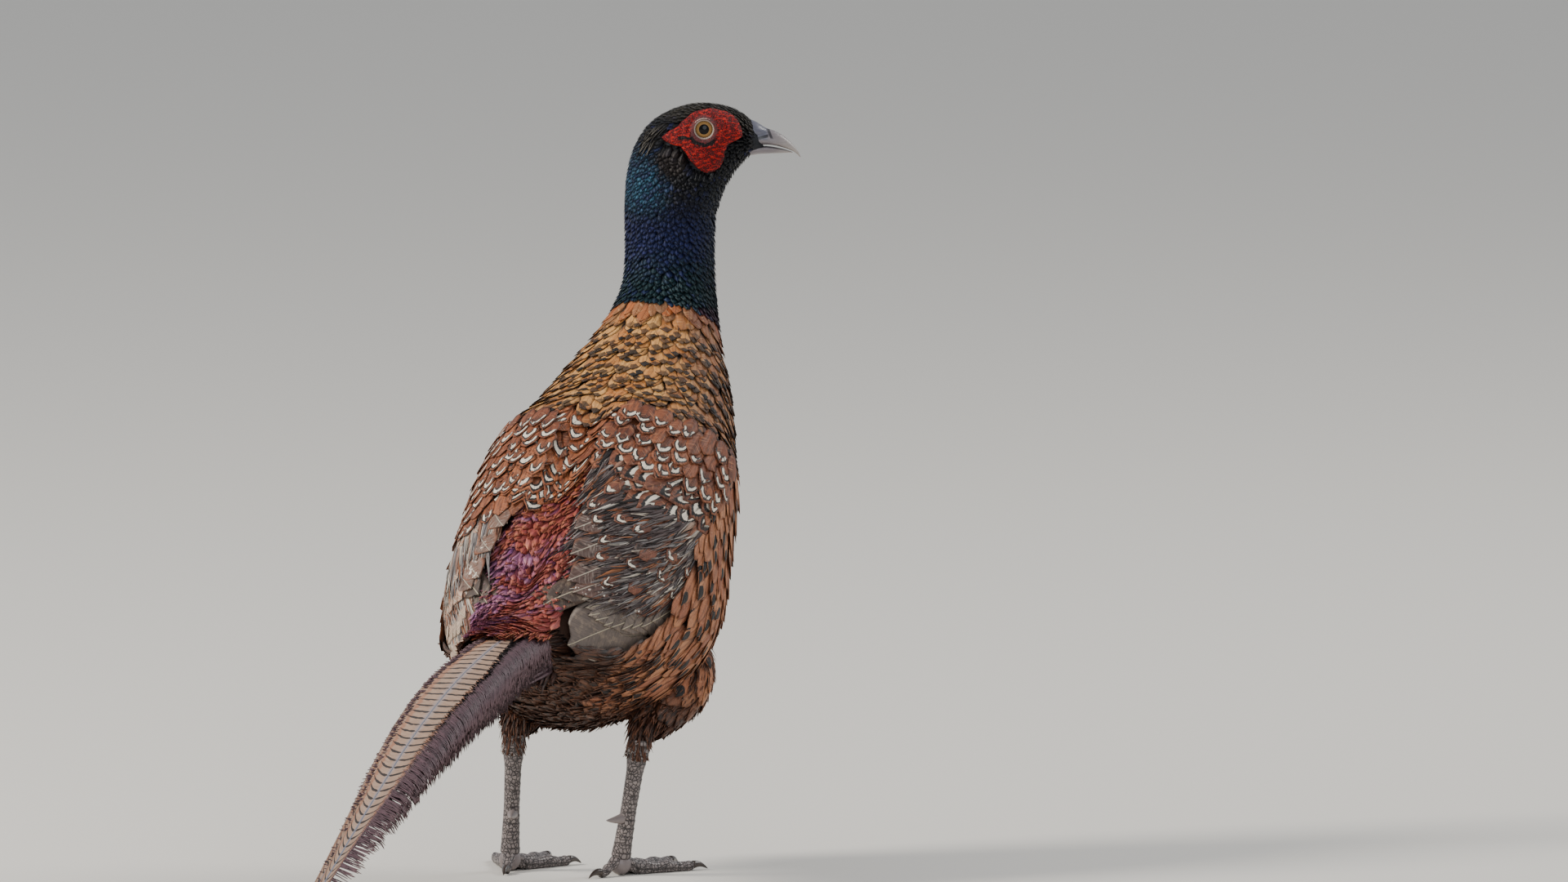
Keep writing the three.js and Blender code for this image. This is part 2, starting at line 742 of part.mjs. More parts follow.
// A shank with scutes down its front and a spur behind
function shankSolid(leg) {
  const { side, hock, ankle } = leg;
  const between = (share) => hock.map((h, i) => THREE.MathUtils.lerp(h, ankle[i], share));
  const shaft = limbSolid(SHANK_RADII.map(([share, radius]) => [...between(share), radius]), 10, 8);
  const scutes = range(8, (i) => {
    const [x, y, z] = between(0.18 + 0.095 * i);
    const plate = new THREE.SphereGeometry(1, 5, 4);
    plate.scale(3.2, 2.6, 3.2).rotateX(-12 * DEG);
    return solidOf(plate.translate(x, y + 2.0, z));
  });
  const [x, y, z] = between(0.66);
  const spur = new THREE.ConeGeometry(SPUR_RADIUS, SPUR_LENGTH, 8);
  spur.rotateX(100 * DEG).rotateZ(side * -20 * DEG);
  const whole = joined([shaft, ...scutes, solidOf(spur.translate(x - side * 1.6, y - 7.5, z))]);
  return largest(whole.subtract(thighSolid(leg, GAP)).subtract(knuckleSolid(leg, GAP)));
}

// The line of a toe's middle, lying on the floor from its root to its claw
function toePath({ ankle, heading, side }, toe) {
  const angle = (heading + side * toe.angle) * DEG;
  const way = new THREE.Vector3(Math.sin(-angle), Math.cos(angle), 0);
  const start = new THREE.Vector3(ankle[0], ankle[1], toe.name === "hind" ? 8 : 6.5);
  return (share) => {
    const point = start.clone().addScaledVector(way, toe.length * share);
    const swell = 1 + 0.08 * Math.cos(share * Math.PI * 6);
    const radius = TOE_RADIUS * (1.08 - 0.42 * share) * swell * (toe.name === "hind" ? 0.8 : 1);
    const drop = THREE.MathUtils.smoothstep(share, 0, toe.name === "hind" ? 0.95 : 0.3);
    point.z = THREE.MathUtils.lerp(start.z, SOLE * radius, drop);
    return { point, way, radius };
  };
}

// A toe with pads between its joints, flat underneath where it rests
function toeSolid(leg, toe) {
  const path = toePath(leg, toe);
  return ringSolid(
    steps(0, 1, 8).map((share) => {
      const { point, way, radius } = path(share);
      const across = new THREE.Vector3(way.y, -way.x, 0);
      return range(8, (i) => {
        const angle = ((i + 0.5) / 8) * 2 * Math.PI;
        const p = point
          .clone()
          .addScaledVector(across, radius * Math.cos(angle))
          .add(new THREE.Vector3(0, 0, radius * Math.sin(angle)));
        p.z = Math.max(p.z, 0);
        return p;
      });
    }),
  );
}

function clawSolid(leg, toe) {
  const { point, way } = toePath(leg, toe)(1);
  const across = new THREE.Vector3(way.y, -way.x, 0);
  return ringSolid(
    steps(0, 1, 5).map((share) => {
      const radius = 1.9 * (1 - share) ** 0.8 + 0.15;
      const centre = point.clone().addScaledVector(way, GAP + CLAW_LENGTH * share);
      centre.z = 2.6 - 2.2 * share ** 2 + 0.6 * Math.sin(Math.PI * share);
      return range(6, (i) => {
        const angle = (i / 6) * 2 * Math.PI;
        const p = centre
          .clone()
          .addScaledVector(across, radius * 0.7 * Math.cos(angle))
          .add(new THREE.Vector3(0, 0, radius * Math.sin(angle)));
        p.z = Math.max(p.z, 0.02);
        return p;
      });
    }),
  );
}

function footSolid(leg) {
  const toes = TOES.map((toe) => toeSolid(leg, toe));
  return joined([knuckleSolid(leg, 0), ...toes]).trimByPlane([0, 0, 1], 0);
}

// Puts a solid into the model as one named mesh
const model = new THREE.Group();
function place(name, solid, colour, roughness, metalness = 0) {
  const mesh = solid.getMesh();
  const positions = new Float32Array(mesh.numVert * 3);
  for (let i = 0; i < mesh.numVert; i++) {
    positions.set(mesh.vertProperties.subarray(i * mesh.numProp, i * mesh.numProp + 3), i * 3);
  }
  const geometry = new THREE.BufferGeometry();
  geometry.setAttribute("position", new THREE.BufferAttribute(positions, 3));
  geometry.setIndex(new THREE.BufferAttribute(mesh.triVerts, 1));
  geometry.computeVertexNormals();
  const material = new THREE.MeshStandardMaterial({ color: colour, roughness, metalness });
  const placed = new THREE.Mesh(geometry, material);
  placed.name = name;
  model.add(placed);
}

place("torso", torsoSolid(0), 0x8a4a26, 0.7);
place("neck", neckSolid(), 0x14213d, 0.4, 0.3);
place("head", headSolid(), 0x1c2430, 0.5, 0.2);
place(
  "bill_upper",
  largest(upperBillSolid(0).subtract(nostrilSolid(1)).subtract(nostrilSolid(-1))),
  0xb9b3ab,
  0.4,
);
place("bill_lower", lowerBillSolid(0), 0xa79f95, 0.4);
for (const [name, side] of [
  ["right", 1],
  ["left", -1],
]) {
  place(`eye_${name}`, eyeSolid(side, EYE_RADIUS), 0xb98a3a, 0.1);
  place(`wattle_${name}`, wattleSolid(side), 0xb3161c, 0.6);
  place(`wing_${name}`, wingSolid(side), 0x7a5a48, 0.7);
}
place("tail", tailSolid(), 0x9a7a5c, 0.7);
for (const [name, leg] of Object.entries(LEGS)) {
  place(`thigh_${name}`, largest(thighSolid(leg, 0)), 0x2e1c16, 0.8);
  place(`shank_${name}`, shankSolid(leg), 0x77706c, 0.5);
  place(`foot_${name}`, footSolid(leg), 0x6d6662, 0.5);
  for (const toe of TOES) place(`claw_${name}_${toe.name}`, clawSolid(leg, toe), 0x3a332e, 0.4);
}

// The origin is on the floor under the middle of the whole bird
const bounds = new THREE.Box3().setFromObject(model);
const middle = bounds.getCenter(new THREE.Vector3());
model.position.set(-middle.x, -middle.y, -bounds.min.z);

export default model;
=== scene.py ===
"""The looks of a life-size cock common pheasant: skin, feathers, face, bill, legs, light and camera.

Shapes are worked out in millimetres in the bird's own frame: +Y is the way the body faces, +X its
right side and +Z up. world() turns them into metres in the row's frame. A surface is a function of
a place along the bird, an angle round it, 0 on the back and growing to the right, and a stand-off.
"""

import math

import bpy
import numpy as np
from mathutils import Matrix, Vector

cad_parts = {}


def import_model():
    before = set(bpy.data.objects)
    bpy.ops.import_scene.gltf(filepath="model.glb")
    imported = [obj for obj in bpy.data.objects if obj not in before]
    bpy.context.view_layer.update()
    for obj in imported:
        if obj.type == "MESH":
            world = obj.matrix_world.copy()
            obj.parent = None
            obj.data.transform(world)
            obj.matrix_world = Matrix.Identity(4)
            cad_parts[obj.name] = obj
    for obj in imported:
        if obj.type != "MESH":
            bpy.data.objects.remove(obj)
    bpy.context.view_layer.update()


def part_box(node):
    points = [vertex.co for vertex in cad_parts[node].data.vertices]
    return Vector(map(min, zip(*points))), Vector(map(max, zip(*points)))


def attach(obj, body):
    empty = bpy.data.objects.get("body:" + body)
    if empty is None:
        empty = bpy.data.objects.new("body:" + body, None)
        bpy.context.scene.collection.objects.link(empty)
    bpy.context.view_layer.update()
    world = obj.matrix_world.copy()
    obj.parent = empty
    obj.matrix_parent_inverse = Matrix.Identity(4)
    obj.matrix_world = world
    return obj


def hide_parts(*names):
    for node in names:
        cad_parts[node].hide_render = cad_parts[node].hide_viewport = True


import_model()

MM = 0.001
TURN = 2 * math.pi
rng = np.random.default_rng(7)

# Driving sizes, the same as in the solids, in millimetres
HEAD_HEADING = math.radians(23)  # the bill points this far forward of straight right
EYE_MIDDLE = np.array([15.1, 125.4, 346.7])  # midway between the eyes
EYE_RADIUS = 6.2
EYE_SINK = 4.4
LID_RADIUS = 4.8
TAIL_LENGTH = 450
TAIL_YAW = math.radians(10)
TAIL_ROOT = np.array([-3, -44, 127])
HEAD_STEP = 13  # how far apart the head's first sections are
NECK_BLEND = (10.2, 11.6)  # places between which the trunk's sections turn into the head's

# Sections: the back's two coordinates, the belly's two, the half width, and how far from back
# to belly the widest place is. COAT flows on over the root of the tail: its place 3 is the
# trunk's third section.
COAT = [
    (-104, 124, -101, 107, 13, 0.45),
    (-79, 130, -72, 98, 19, 0.45),
    (-58, 138, -50, 86, 31, 0.45),
    (-45, 146, -16, 73, 42, 0.42),
    (-31, 167, 16, 70, 50, 0.4),
    (-10, 186, 50, 80, 53, 0.38),
    (8, 202, 80, 100, 56, 0.36),
    (28, 216, 102, 132, 55, 0.36),
    (48, 231, 117, 165, 50.5, 0.37),
    (70, 246, 128, 198, 41, 0.4),
    (87, 261, 136, 229, 30, 0.45),
    (96, 277, 141, 257, 23, 0.5),
    (97.5, 295, 140.5, 287, 21, 0.5),
    (98, 312, 140, 310, 20.5, 0.5),
]
WING_SHELL = [
    (-72, 130, -38, 72, 40, 0.45),
    (-62, 146, -16, 66, 48.5, 0.43),
    (-48, 162, 6, 66, 55.5, 0.42),
    (-31, 177, 34, 72, 60, 0.4),
    (-11, 193, 60, 84, 62, 0.38),
    (9, 209, 86, 106, 62, 0.36),
    (29, 223, 106, 136, 60, 0.36),
    (48, 238, 121, 168, 55, 0.37),
]
HEAD = [
    (-38.0, -42, 5.8, -41.4, 20.6, 0.5),
    (-37.6, -29, 9.6, -31, 19.4, 0.5),
    (-36, -17.5, 12.2, -26, 17.8, 0.5),
    (-32, -6.5, 15, -21.6, 16.6, 0.5),
    (-25.4, 2.4, 17.6, -18.6, 15.8, 0.48),
    (-15.4, 8.6, 20, -16, 15.2, 0.46),
    (-4.4, 11.5, 22.5, -14, 14.4, 0.46),
    (6, 11.2, 25, -13.2, 13, 0.48),
    (14.5, 9, 27, -12.8, 10.4, 0.5),
    (21, 4.8, 28.6, -12.5, 7.6, 0.5),
    (24.5, 0.5, 29.5, -12.3, 5, 0.5),
]
UPPER_BILL = [
    (15, 3.2, 13.5, -9.6, 6.4, 0.75),
    (20, 4, 18.5, -9.4, 6.4, 0.75),
    (24.5, 2.6, 23.4, -8.8, 5.9, 0.75),
    (29.1, -0.3, 29.8, -8.4, 5.0, 0.75),
    (33.6, -1.9, 34, -8.9, 4.3, 0.75),
    (38.1, -4.5, 37.8, -9.9, 3.3, 0.7),
    (41.9, -8, 41, -11, 2.1, 0.6),
    (44.4, -11.2, 43.7, -12.6, 1.1, 0.5),
    (45.9, -14.2, 45.5, -14.4, 0.3, 0.5),
]
LOWER_BILL = [
    (14, -10.1, 15, -14.4, 5.8, 0.25),
    (19, -9.9, 20.5, -13.8, 5.5, 0.25),
    (24, -9.3, 26, -13.0, 4.7, 0.25),
    (30, -9.1, 31, -12.7, 3.8, 0.25),
    (36, -10.1, 36.4, -12.5, 2.7, 0.3),
    (40.2, -11.3, 40.4, -12.3, 1.4, 0.4),
    (42, -12, 42, -12.3, 0.4, 0.5),
]
# The bare face skin's edge, forward of and above the eye
WATTLE_RIM = [
    *((18.4, -3.4), (17.6, 0.4), (15.8, 4.2), (12.5, 7.1), (7.4, 8.6), (1.8, 9.3), (-2.1, 8.6)),
    *((-7.9, 5.4), (-12.4, 1), (-20.2, -4.2), (-11, -8), (-8.5, -11.1), (-5.9, -15.3), (-2.7, -18.5)),
    *((0.4, -20.5), (4.3, -20.2), (7.5, -18.2), (9.4, -14.4), (9.8, -10.5), (11.4, -7.2), (14.6, -5.6)),
]
TAIL_SLOPES = [(0, 2), (120, 8), (200, 12.5), (275, 16.5), (470, 18)]  # lengths and degrees
LEGS = [
    {"name": "left", "side": -1, "thigh": (-34, 42, 92), "hock": (-31, 5, 67), "ankle": (-38, 16, 7.5),
     "heading": 4},
    {"name": "right", "side": 1, "thigh": (34, 42, 92), "hock": (33, 7, 67), "ankle": (18, 18, 7.5),
     "heading": -4},
]
TOES = [("inner", 27, 38), ("middle", 0, 51), ("outer", -29, 41), ("hind", 168, 15)]  # degrees, length
TOE_RADIUS = 3.6
SOLE = 0.84  # height of a toe's middle line over the floor, as a share of its radius
CLAW_LENGTH = 8.5

FORWARD = np.array([math.cos(HEAD_HEADING), math.sin(HEAD_HEADING), 0])
SIDEWAYS = np.array([math.sin(HEAD_HEADING), -math.cos(HEAD_HEADING), 0])
UP = np.array([0, 0, 1.0])
HEAD_TWIST = math.pi / 2 - HEAD_HEADING
SIDES = ((1, "right"), (-1, "left"))


def node_middle(node):
    low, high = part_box(node)
    return (np.array(low) + np.array(high)) / 2


# The eyes are the same pair of balls in the bird's frame and in the row's
SHIFT = (node_middle("eye_left") + node_middle("eye_right")) / 2 / MM - EYE_MIDDLE


def world(points):
    return (np.asarray(points, float) + SHIFT) * MM


# Surfaces


def spread(*values):
    """Numbers and arrays as arrays of one shape."""
    return np.broadcast_arrays(*(np.asarray(v, float) for v in values))


def smooth(value, low, high):
    t = np.clip((np.asarray(value, float) - low) / (high - low), 0, 1)
    return t * t * (3 - 2 * t)


def mix(a, b, share):
    return a + (b - a) * share


def circle(around):
    return np.arange(around) / around * TURN


def unit(vector):
    return vector / np.linalg.norm(vector, axis=-1, keepdims=True)


def folded_angle(angle):
    """An angle from the back, between half a turn to the left and half a turn to the right."""
    return (angle + math.pi) % TURN - math.pi


def rows_at(table, place):
    """The table's row at fractional places, on a smooth curve through its rows."""
    table = np.array(table, float)
    last = len(table) - 1
    t = np.clip(place, 0, last)
    i = np.minimum(t.astype(int), last - 1)
    f = (t - i)[..., None]
    long = np.vstack([2 * table[0] - table[1], table, 2 * table[-1] - table[-2]])
    a, b, c, d = long[i], long[i + 1], long[i + 2], long[i + 3]
    return 0.5 * (2 * b + (c - a) * f + (2 * a - 5 * b + 4 * c - d) * f**2 + (3 * b - a - 3 * c + d) * f**3)


def section(table, place, angle, grow=0.0):
    """A lofted section's point: in its back-to-belly plane, and how far to the side."""
    place, angle, grow = spread(place, angle, grow)
    row = rows_at(table, place)
    back, belly, half, widest = row[..., 0:2], row[..., 2:4], row[..., 4], row[..., 5]
    depth = np.linalg.norm(back - belly, axis=-1)
    up = (back - belly) / depth[..., None]
    c = np.cos(angle)
    reach = (np.where(c > 0, widest, 1 - widest) * depth + grow) * c - widest * depth
    return back + up * reach[..., None], (half + grow) * np.sin(angle)


def trunk_like(table, place, angle, grow=0.0):
    plane, side = section(table, place, angle, grow)
    return np.stack([side, plane[..., 0], plane[..., 1]], -1)


def head_place(forward, side, above):
    """Points from how far they lie forward of the eyes' middle, to the side of it and above it."""
    forward, side, above = spread(forward, side, above)
    return EYE_MIDDLE + forward[..., None] * FORWARD + side[..., None] * SIDEWAYS + above[..., None] * UP


def coat(place, angle, grow=0.0):
    """The bird from the root of the tail, place -1, over the trunk and neck, 11.6, to the bill, 21.6."""
    place, angle, grow = spread(place, angle, grow)
    trunk = trunk_like(COAT, np.minimum(place, NECK_BLEND[1]) + 1, angle, grow)
    past = place - NECK_BLEND[1]
    plane, side = section(HEAD, np.maximum(past, 0), angle + HEAD_TWIST, grow)
    # Under its first section the head runs straight down, so that the blend keeps its pace
    head = head_place(plane[..., 0], side, plane[..., 1]) + np.minimum(past, 0)[..., None] * HEAD_STEP * UP
    return mix(trunk, head, smooth(place, *NECK_BLEND)[..., None])


def shell(side):
    """The outer face of a folded wing, with places from the rear tip, 0, to the shoulder, 6.6."""

    def surface(place, angle, grow=0.0):
        turn = side * np.asarray(angle)
        beyond = np.minimum(place, 0)[..., None]
        step = trunk_like(WING_SHELL, 0.0, turn, grow) - trunk_like(WING_SHELL, 0.25, turn, grow)
        return trunk_like(WING_SHELL, place, turn, grow) - beyond * step / 0.25 * 0.6

    return surface


def wing_edge(place):
    """A wing's outer edge on its shell, as an angle from the back."""
    share = np.clip(place, 0, 6.5) / 6.5
    return np.radians(88 + 34 * np.sin(np.pi * np.minimum(share * 0.75 + 0.02, 1)))


def cloak(place, angle, grow=0.0):
    """The coat where it runs on over the folded wings."""
    turn = np.abs(folded_angle(np.asarray(angle, float)))
    edge = wing_edge(place)
    share = smooth(turn, 0, 0.24) * (1 - smooth(turn, edge - 0.25, edge + 0.3))
    share = share * smooth(place, -0.6, 0.6) * (1 - smooth(place, 5.9, 7.1))
    wing = trunk_like(WING_SHELL, np.minimum(place, 7), angle, grow)
    return mix(coat(place, angle, grow), wing, share[..., None])


def flank(place, angle, grow=0.0):
    """The cloak with the swell of loose feathers over the thighs."""
    turn = np.abs(folded_angle(np.asarray(angle, float)))
    swell = 10 * np.exp(-(((np.asarray(place, float) - 3.9) / 1.1) ** 2) - ((turn - 2.2) / 0.4) ** 2)
    return cloak(place, angle, grow + swell)


def rump_bed(place, angle, grow=0.0):
    """The rump, which rises on both sides to meet the inner edges of the wings."""
    return mix(coat(place, angle, grow), cloak(place, angle, grow), 0.55)


def thigh(leg):
    """A thigh's surface, with its share of the way from the body, 0, to the bare shank, 1."""
    x, y, z = leg["thigh"]
    hx, hy, hz = leg["hock"]
    below = mix(np.array(leg["hock"], float), np.array(leg["ankle"], float), 0.17)
    # Stations of a point and a radius
    stations = np.array([
        (x * 0.85, y + 2, z + 22, 20),
        (x, y, z, 19.5),
        ((x + hx) / 2, (y + hy) / 2 - 1, (z + hz) / 2 - 2, 12.5),
        (hx, hy + 1.5, hz + 3, 6.8),
        (*below, 5.0),
    ])
    last = len(stations) - 1

    def surface(share, angle, grow=0.0):
        share, angle, grow = spread(share, angle, grow)
        row = rows_at(stations, share * last)
        inside = np.clip(share, 0.02, 0.98)
        ahead = rows_at(stations, (inside + 0.02) * last) - rows_at(stations, (inside - 0.02) * last)
        way = unit(ahead[..., :3])
        across = unit(np.cross(way, [0.0, 1.0, 0.0]))
        front = np.cross(across, way)
        radius = (row[..., 3] + grow)[..., None]
        return row[..., :3] + radius * (np.cos(angle)[..., None] * across + np.sin(angle)[..., None] * front)

    return surface


def thigh_upwards(leg):
    """A thigh's surface for feathers, which point from place 1, at the body, towards place 0."""
    from_body = thigh(leg)

    def surface(place, angle, grow=0.0):
        return from_body(1 - np.asarray(place), angle, grow)

    return surface


# Meshes


def outward(points, faces):
    """The faces of a closed form, turned round where they would look into it."""
    points = points - points.mean(0)
    volume = 0
    for corners in (points[np.asarray(f)] for f in faces):
        for k in range(1, corners.shape[1] - 1):
            volume += (corners[:, 0] * np.cross(corners[:, k], corners[:, k + 1])).sum()
    return faces if volume > 0 else [np.asarray(f)[:, ::-1] for f in faces]


def solid(name, points, faces, material, slot, replaces=(), vectors=None, numbers=None):
    """A piece from points in millimetres and faces, a list of arrays of equal-sided faces."""
    mesh = bpy.data.meshes.new(name)
    points = world(points)
    faces = outward(points, faces)
    corners = np.concatenate([np.asarray(f).ravel() for f in faces])
    sides = np.concatenate([np.full(len(f), np.asarray(f).shape[1]) for f in faces])
    mesh.vertices.add(len(points))
    mesh.vertices.foreach_set("co", points.ravel())
    mesh.loops.add(len(corners))
    mesh.loops.foreach_set("vertex_index", corners)
    mesh.polygons.add(len(sides))
    mesh.polygons.foreach_set("loop_start", np.concatenate([[0], np.cumsum(sides)[:-1]]))
    mesh.polygons.foreach_set("use_smooth", np.ones(len(sides), bool))
    for layer, values in (vectors or {}).items():
        uv = mesh.uv_layers.new(name=layer)
        uv.data.foreach_set("uv", np.asarray(values, np.float32)[corners].ravel())
    for layer, values in (numbers or {}).items():
        mark = mesh.attributes.new(layer, "FLOAT", "POINT")
        mark.data.foreach_set("value", np.asarray(values, np.float32))
    mesh.update(calc_edges=True)
    mesh.validate()
    mesh.materials.append(material)
    made = bpy.data.objects.new(name, mesh)
    bpy.context.scene.collection.objects.link(made)
    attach(made, "root")
    if replaces:
        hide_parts(*replaces)


def ring_quads(rings, around):
    r, i = np.meshgrid(np.arange(rings - 1), np.arange(around), indexing="ij")
    j = (i + 1) % around
    corners = [r * around + i, r * around + j, (r + 1) * around + j, (r + 1) * around + i]
    return np.stack(corners, -1).reshape(-1, 4)


def loft(rings):
    """Points and faces of a form from rings of points, its ends closed by fans round added middles."""
    count, around = rings.shape[:2]
    points = np.concatenate([rings.reshape(-1, 3), rings[[0, -1]].mean(1)])
    k = np.arange(around)
    n = (k + 1) % around
    first = np.stack([n, k, np.full(around, count * around)], -1)
    top = (count - 1) * around
    last = np.stack([top + k, top + n, np.full(around, count * around + 1)], -1)
    return points, [ring_quads(count, around), np.concatenate([first, last])]


def hoop(rings):
    """Points and faces of a form whose last ring of points meets its first."""
    count, around = rings.shape[:2]
    return rings.reshape(-1, 3), [ring_quads(count + 1, around) % (count * around)]


def loft_measures(across, along, ends):
    """Two measures of a loft's points, with those of its two middles."""
    return np.concatenate([np.stack(spread(across, along), -1).reshape(-1, 2), ends])


def joined(parts):
    """Parts as (points, faces) made into one."""
    points, faces, start = [], [], 0
    for part_points, part_faces in parts:
        points.append(part_points)
        faces += [np.asarray(f) + start for f in outward(part_points, part_faces)]
        start += len(part_points)
    return np.concatenate(points), faces


# Feathers


def round_tip(s):
    return np.minimum(0.5 + 1.6 * s, 1) * np.sqrt(np.clip(1 - smooth(s, 0.58, 1.03) ** 1.7, 0.01, 1))


def slim_tip(s):
    return np.minimum(0.45 + 2 * s, 1) * (1 - 0.86 * smooth(s, 0.25, 1.05))


def quill_tip(s):
    return np.minimum(0.6 + 1.2 * s, 1) * np.sqrt(np.clip(1 - smooth(s, 0.72, 1.02) ** 2, 0.01, 1))


def strand(s):
    return 1 - 0.8 * s**2


PLACE_PROBE = 0.05  # how far to each side a surface is measured, in places
ANGLE_PROBE = 0.02  # and in radians


def metric(surface, place, angle):
    """Millimetres per place and per radian at points of a surface."""
    along = surface(place + PLACE_PROBE, angle) - surface(place - PLACE_PROBE, angle)
    round_it = surface(place, angle + ANGLE_PROBE) - surface(place, angle - ANGLE_PROBE)
    per_place = np.linalg.norm(along, axis=-1) / (2 * PLACE_PROBE)
    per_angle = np.linalg.norm(round_it, axis=-1) / (2 * ANGLE_PROBE)
    return np.maximum(per_place, 0.35 * np.median(per_place)), np.maximum(per_angle, 0.9)


def stations(rows):
    """Shares of a feather's length at which its rows lie, closer together at the tip."""
    return np.linspace(0, 1, rows + 1) ** 0.85


def straight(root, tip, rows):
    """Feathers' middle lines from root to tip, given as places and angles."""
    ends = [(np.asarray(a, float)[:, None], np.asarray(b, float)[:, None]) for a, b in zip(root, tip)]
    return [mix(a, b, stations(rows)[None]) for a, b in ends]


def flowing(surface, place, angle, length, turn, rows):
    """Feathers' middle lines from their roots, lengths and turns away from straight down."""
    length, turn = (np.broadcast_to(np.asarray(v, float), place.shape) for v in (length, turn))
    places, angles = [place], [angle]
    for step in np.diff(stations(rows)):
        per_place, per_angle = metric(surface, places[-1], angles[-1])
        places.append(places[-1] - step * length * np.cos(turn) / per_place)
        angles.append(angles[-1] + step * length * np.sin(turn) / per_angle)
    return [np.stack(places, 1), np.stack(angles, 1)]


def for_each(values, n):
    """One value for each of n feathers, to be spread over the rows and columns of its points."""
    return np.broadcast_to(np.asarray(values, float), (n,))[:, None, None]


def vanes(surface, line, width, low=-2.0, high=0.6, cup=0.4, bow=0.0, roll=0.0, columns=2,
          outline=round_tip, power=1.3, ragged=0.07, thick=0.25, **marks):
    """Thin closed vanes laid on a surface along their middle lines, low at the root and high at the tip."""
    line_place, line_angle = (v[..., None] for v in line)
    n, rows = line_place.shape[0], line_place.shape[1] - 1
    low, rise, cup, bow, roll, width, thick = (
        for_each(v, n) for v in (low, np.subtract(high, low), cup, bow, roll, width, thick)
    )
    s = stations(rows)[None, :, None]
    a = np.linspace(-1, 1, columns + 1)[None, None, :]
    per_place, per_angle = metric(surface, line_place, line_angle)
    down = -np.gradient(line_place, axis=1) * per_place
    out = np.gradient(line_angle, axis=1) * per_angle
    step = np.maximum(np.hypot(down, out), 1e-6)
    length = step.sum(1, keepdims=True) - (step[:, :1] + step[:, -1:]) / 2
    down, out = down / step, out / step
    uneven = 1 + ragged * rng.normal(size=(n, rows + 1, 1)) * (s > 0)
    across = a * (outline(s) * width / 2 * uneven)
    aside = across + bow * 4 * s * (1 - s)
    behind = 0.06 * a**2 * s * length
    at = line_place + (aside * out + behind * down) / per_place
    to = line_angle + (aside * down - behind * out) / per_angle
    height = low + rise * s**power - cup * a**2 + roll * a * s
    top = surface(at, to, height)
    under = surface(at, to, height - thick)
    return lens(top, under, s, a, across, s * length, marks, line[0][:, 0], line[1][:, 0])


def lens(top, under, s, a, across, along, marks, place, angle):
    """Closes each vane: its two faces share their outer edge. Returns the tract's points and values."""
    n, high, wide = top.shape[:3]
    size = high * wide
    inner = np.zeros((high, wide), bool)
    inner[1:-1, 1:-1] = True
    top_ids = np.arange(size).reshape(high, wide)
    under_ids = top_ids.copy()
    under_ids[inner] = size + np.arange(inner.sum())

    def quads(ids):
        return np.stack([ids[:-1, :-1], ids[:-1, 1:], ids[1:, 1:], ids[1:, :-1]], -1).reshape(-1, 4)

    def both(values):
        values = np.broadcast_to(values, (n, high, wide))
        return np.concatenate([values.reshape(n, size), values[:, inner]], 1).ravel()

    faces = np.concatenate([quads(top_ids), quads(under_ids)[:, ::-1]])
    each = size + int(inner.sum())
    points = np.concatenate([top.reshape(n, size, 3), under[:, inner]], 1).reshape(-1, 3)
    faces = (faces[None] + (np.arange(n) * each)[:, None, None]).reshape(-1, 4)
    numbers = {"chance": rng.random(n)} | marks
    return {
        "points": points,
        "faces": outward(points, [faces])[0],
        "vane": np.stack([both((a + 1) / 2), both(s)], -1),
        "span": np.stack([both(across), both(along)], -1),
        "numbers": {key: both(for_each(values, n)) for key, values in numbers.items()},
        "root": np.stack([np.asarray(angle), np.asarray(place)], -1),
        "feather": np.repeat(np.arange(n), each),
    }


BAKE_PATCH = 0.003  # how much of the map one small feather's patch takes
FEW = 400  # below this count the feathers are large, and each has a cell of its own


def bake_middles(tracts):
    """The middle of each vane's patch on OFBake, and the patches' size."""
    total = sum(len(t["root"]) for t in tracts)
    cells = math.ceil(math.sqrt(total))
    middles, first = [], 0
    for tract in tracts:
        turn, place = tract["root"].T
        count = len(turn)
        if total < FEW:
            rank = np.empty(count, int)
            rank[np.lexsort((turn, place))] = first + np.arange(count)
            spot = (np.stack([rank % cells, rank // cells], -1) + 0.5) / cells
            first += count
        else:
            turn = folded_angle(turn) if np.ptp(turn) < 1.5 * TURN else turn
            unwrapped = np.stack([turn - turn.min(), place - place.min()], -1)
            island = np.array([1, count / total]) - 2 * BAKE_PATCH
            spot = unwrapped / unwrapped.max(0) * island + [BAKE_PATCH, first + BAKE_PATCH]
            first += count / total
        middles.append(spot[tract["feather"]])
    return np.concatenate(middles), 0.9 / cells if total < FEW else BAKE_PATCH


def feathers(name, tracts, material, slot, replaces=()):
    """One coat piece from tracts of vanes, each tract with its own island on the map OFBake."""

    def join(parts):
        return np.concatenate(list(parts))

    start = np.cumsum([0] + [len(t["points"]) for t in tracts[:-1]])
    faces = join(t["faces"] + s for t, s in zip(tracts, start))
    vane = join(t["vane"] for t in tracts)
    middles, patch = bake_middles(tracts)
    numbers = {key: join(t["numbers"][key] for t in tracts) for key in tracts[0]["numbers"]}
    span = join(t["span"] for t in tracts)
    vectors = {"OFBake": middles + (vane - 0.5) * patch, "Vane": vane, "Span": span}
    points = join(t["points"] for t in tracts)
    solid(name, points, [faces], material, slot, replaces, vectors, numbers)


ALL_ROUND = (-math.pi, math.pi)
RING_SAMPLES = 91
CANDIDATES = 60000  # roots that are drawn before the ones too close together go


